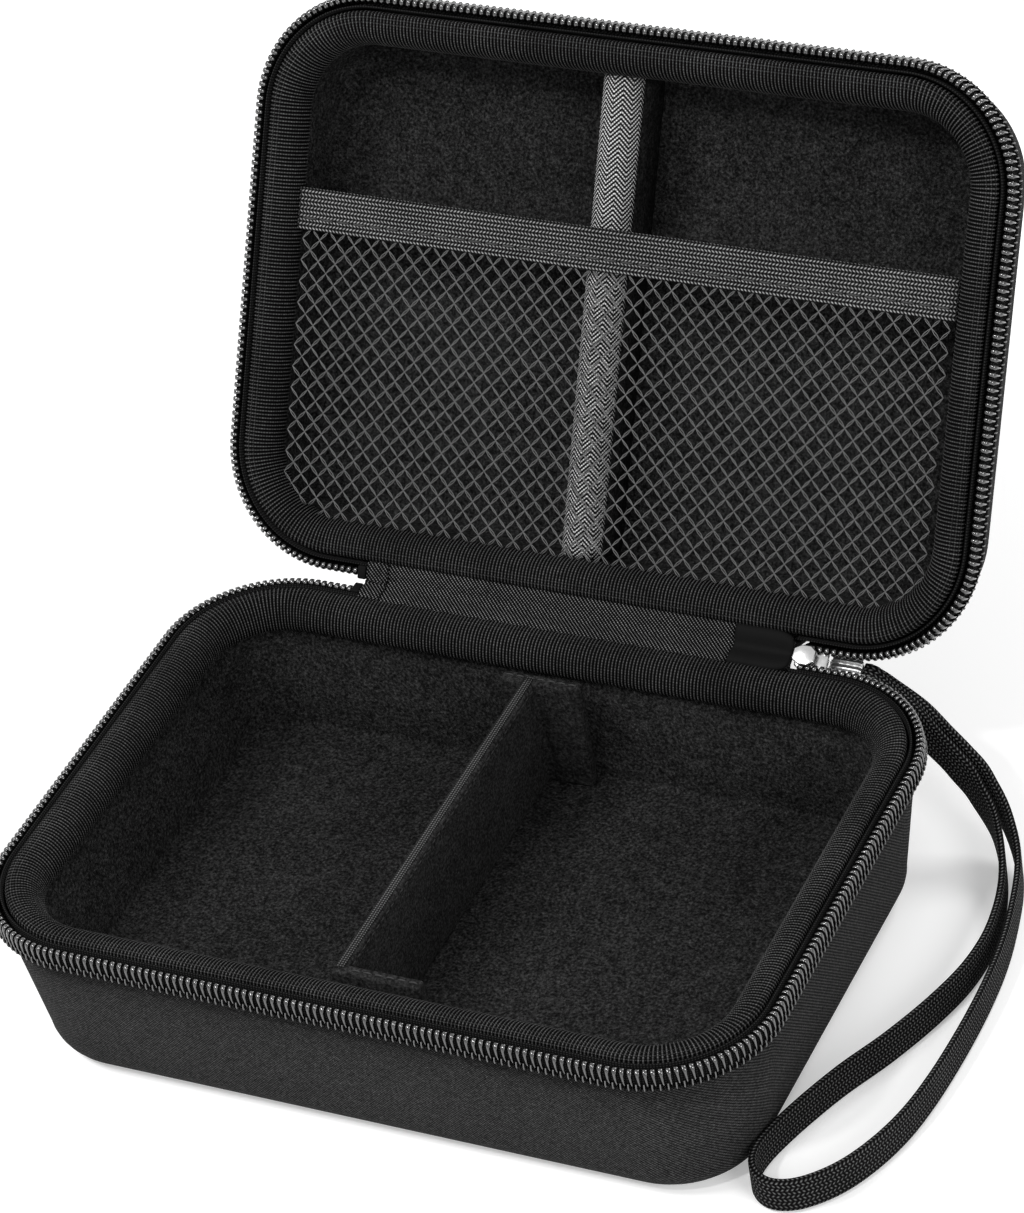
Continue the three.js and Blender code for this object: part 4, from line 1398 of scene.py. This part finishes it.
# %% Floor and world
FLOOR_SIZE = 6
FLOOR_SHADE = 0.8
FLOOR_GLOW = 0.35
WORLD_LIGHT = 0.45
WHITE = (1, 1, 1, 1)


def seen_ray(tree):
    """1 for a ray that shows the backdrop, 0 for one that only lights the case."""
    path = tree.nodes.new("ShaderNodeLightPath")
    seen = calc(tree, "MAXIMUM", path.outputs["Is Camera Ray"], path.outputs["Is Glossy Ray"])
    return calc(tree, "MAXIMUM", seen, path.outputs["Is Transmission Ray"])


def floor_paper():
    """Pale paper that also glows a little towards every ray that shows it."""
    material = bpy.data.materials.new("floor_paper")
    material.use_nodes = True
    tree = material.node_tree
    tree.nodes.clear()
    paper = tree.nodes.new("ShaderNodeBsdfDiffuse")
    paper.inputs["Color"].default_value = (*grey(FLOOR_SHADE), 1)
    glow = tree.nodes.new("ShaderNodeEmission")
    glow.inputs["Color"].default_value = WHITE
    glow.inputs["Strength"].default_value = FLOOR_GLOW
    both = tree.nodes.new("ShaderNodeAddShader")
    mix = tree.nodes.new("ShaderNodeMixShader")
    out = tree.nodes.new("ShaderNodeOutputMaterial")
    for source, target in (
        (paper.outputs[0], both.inputs[0]), (glow.outputs[0], both.inputs[1]),
        (seen_ray(tree), mix.inputs[0]), (paper.outputs[0], mix.inputs[1]),
        (both.outputs[0], mix.inputs[2]), (mix.outputs[0], out.inputs["Surface"]),
    ):
        tree.links.new(source, target)
    return material


bm = bmesh.new()
bmesh.ops.create_grid(bm, x_segments=1, y_segments=1, size=FLOOR_SIZE / 2)
floor = make_piece("floor", bm, floor_paper())

world = bpy.data.worlds.new("studio")
world.use_nodes = True
tree = world.node_tree
background = tree.nodes["Background"]
background.inputs["Color"].default_value = WHITE
strength = calc(tree, "MULTIPLY_ADD", seen_ray(tree), 1 - WORLD_LIGHT, WORLD_LIGHT)
tree.links.new(strength, background.inputs["Strength"])
bpy.context.scene.world = world

# %% [markdown]
# Four round lamps light the case. A large key and fill keep the shadows soft, one from behind draws
# the edges, and a small one in front puts the bright dots on the teeth.

# %% Lamps
LAMP_AIM = Vector((0, 0, 0.05))
# Each lamp has its place and its size in metres, and its power in watts.
LAMPS = {
    "key": ((-0.7, -0.5, 1.3), 0.45, 12),
    "fill": ((1.2, -0.7, 0.9), 0.6, 9),
    "back": ((0.3, 1.1, 1.2), 0.5, 9),
    "glint": ((-0.25, -0.9, 1.4), 0.12, 7),
}
for name, (place, size, power) in LAMPS.items():
    data = bpy.data.lights.new(name, "AREA")
    data.shape = "DISK"
    data.size = size
    data.energy = power
    light = bpy.data.objects.new(name, data)
    light.location = place
    light.rotation_euler = (LAMP_AIM - Vector(place)).to_track_quat("-Z", "Y").to_euler()
    bpy.context.scene.collection.objects.link(light)
bpy.context.scene.view_settings.view_transform = "Standard"
print("lamps:", len(LAMPS))
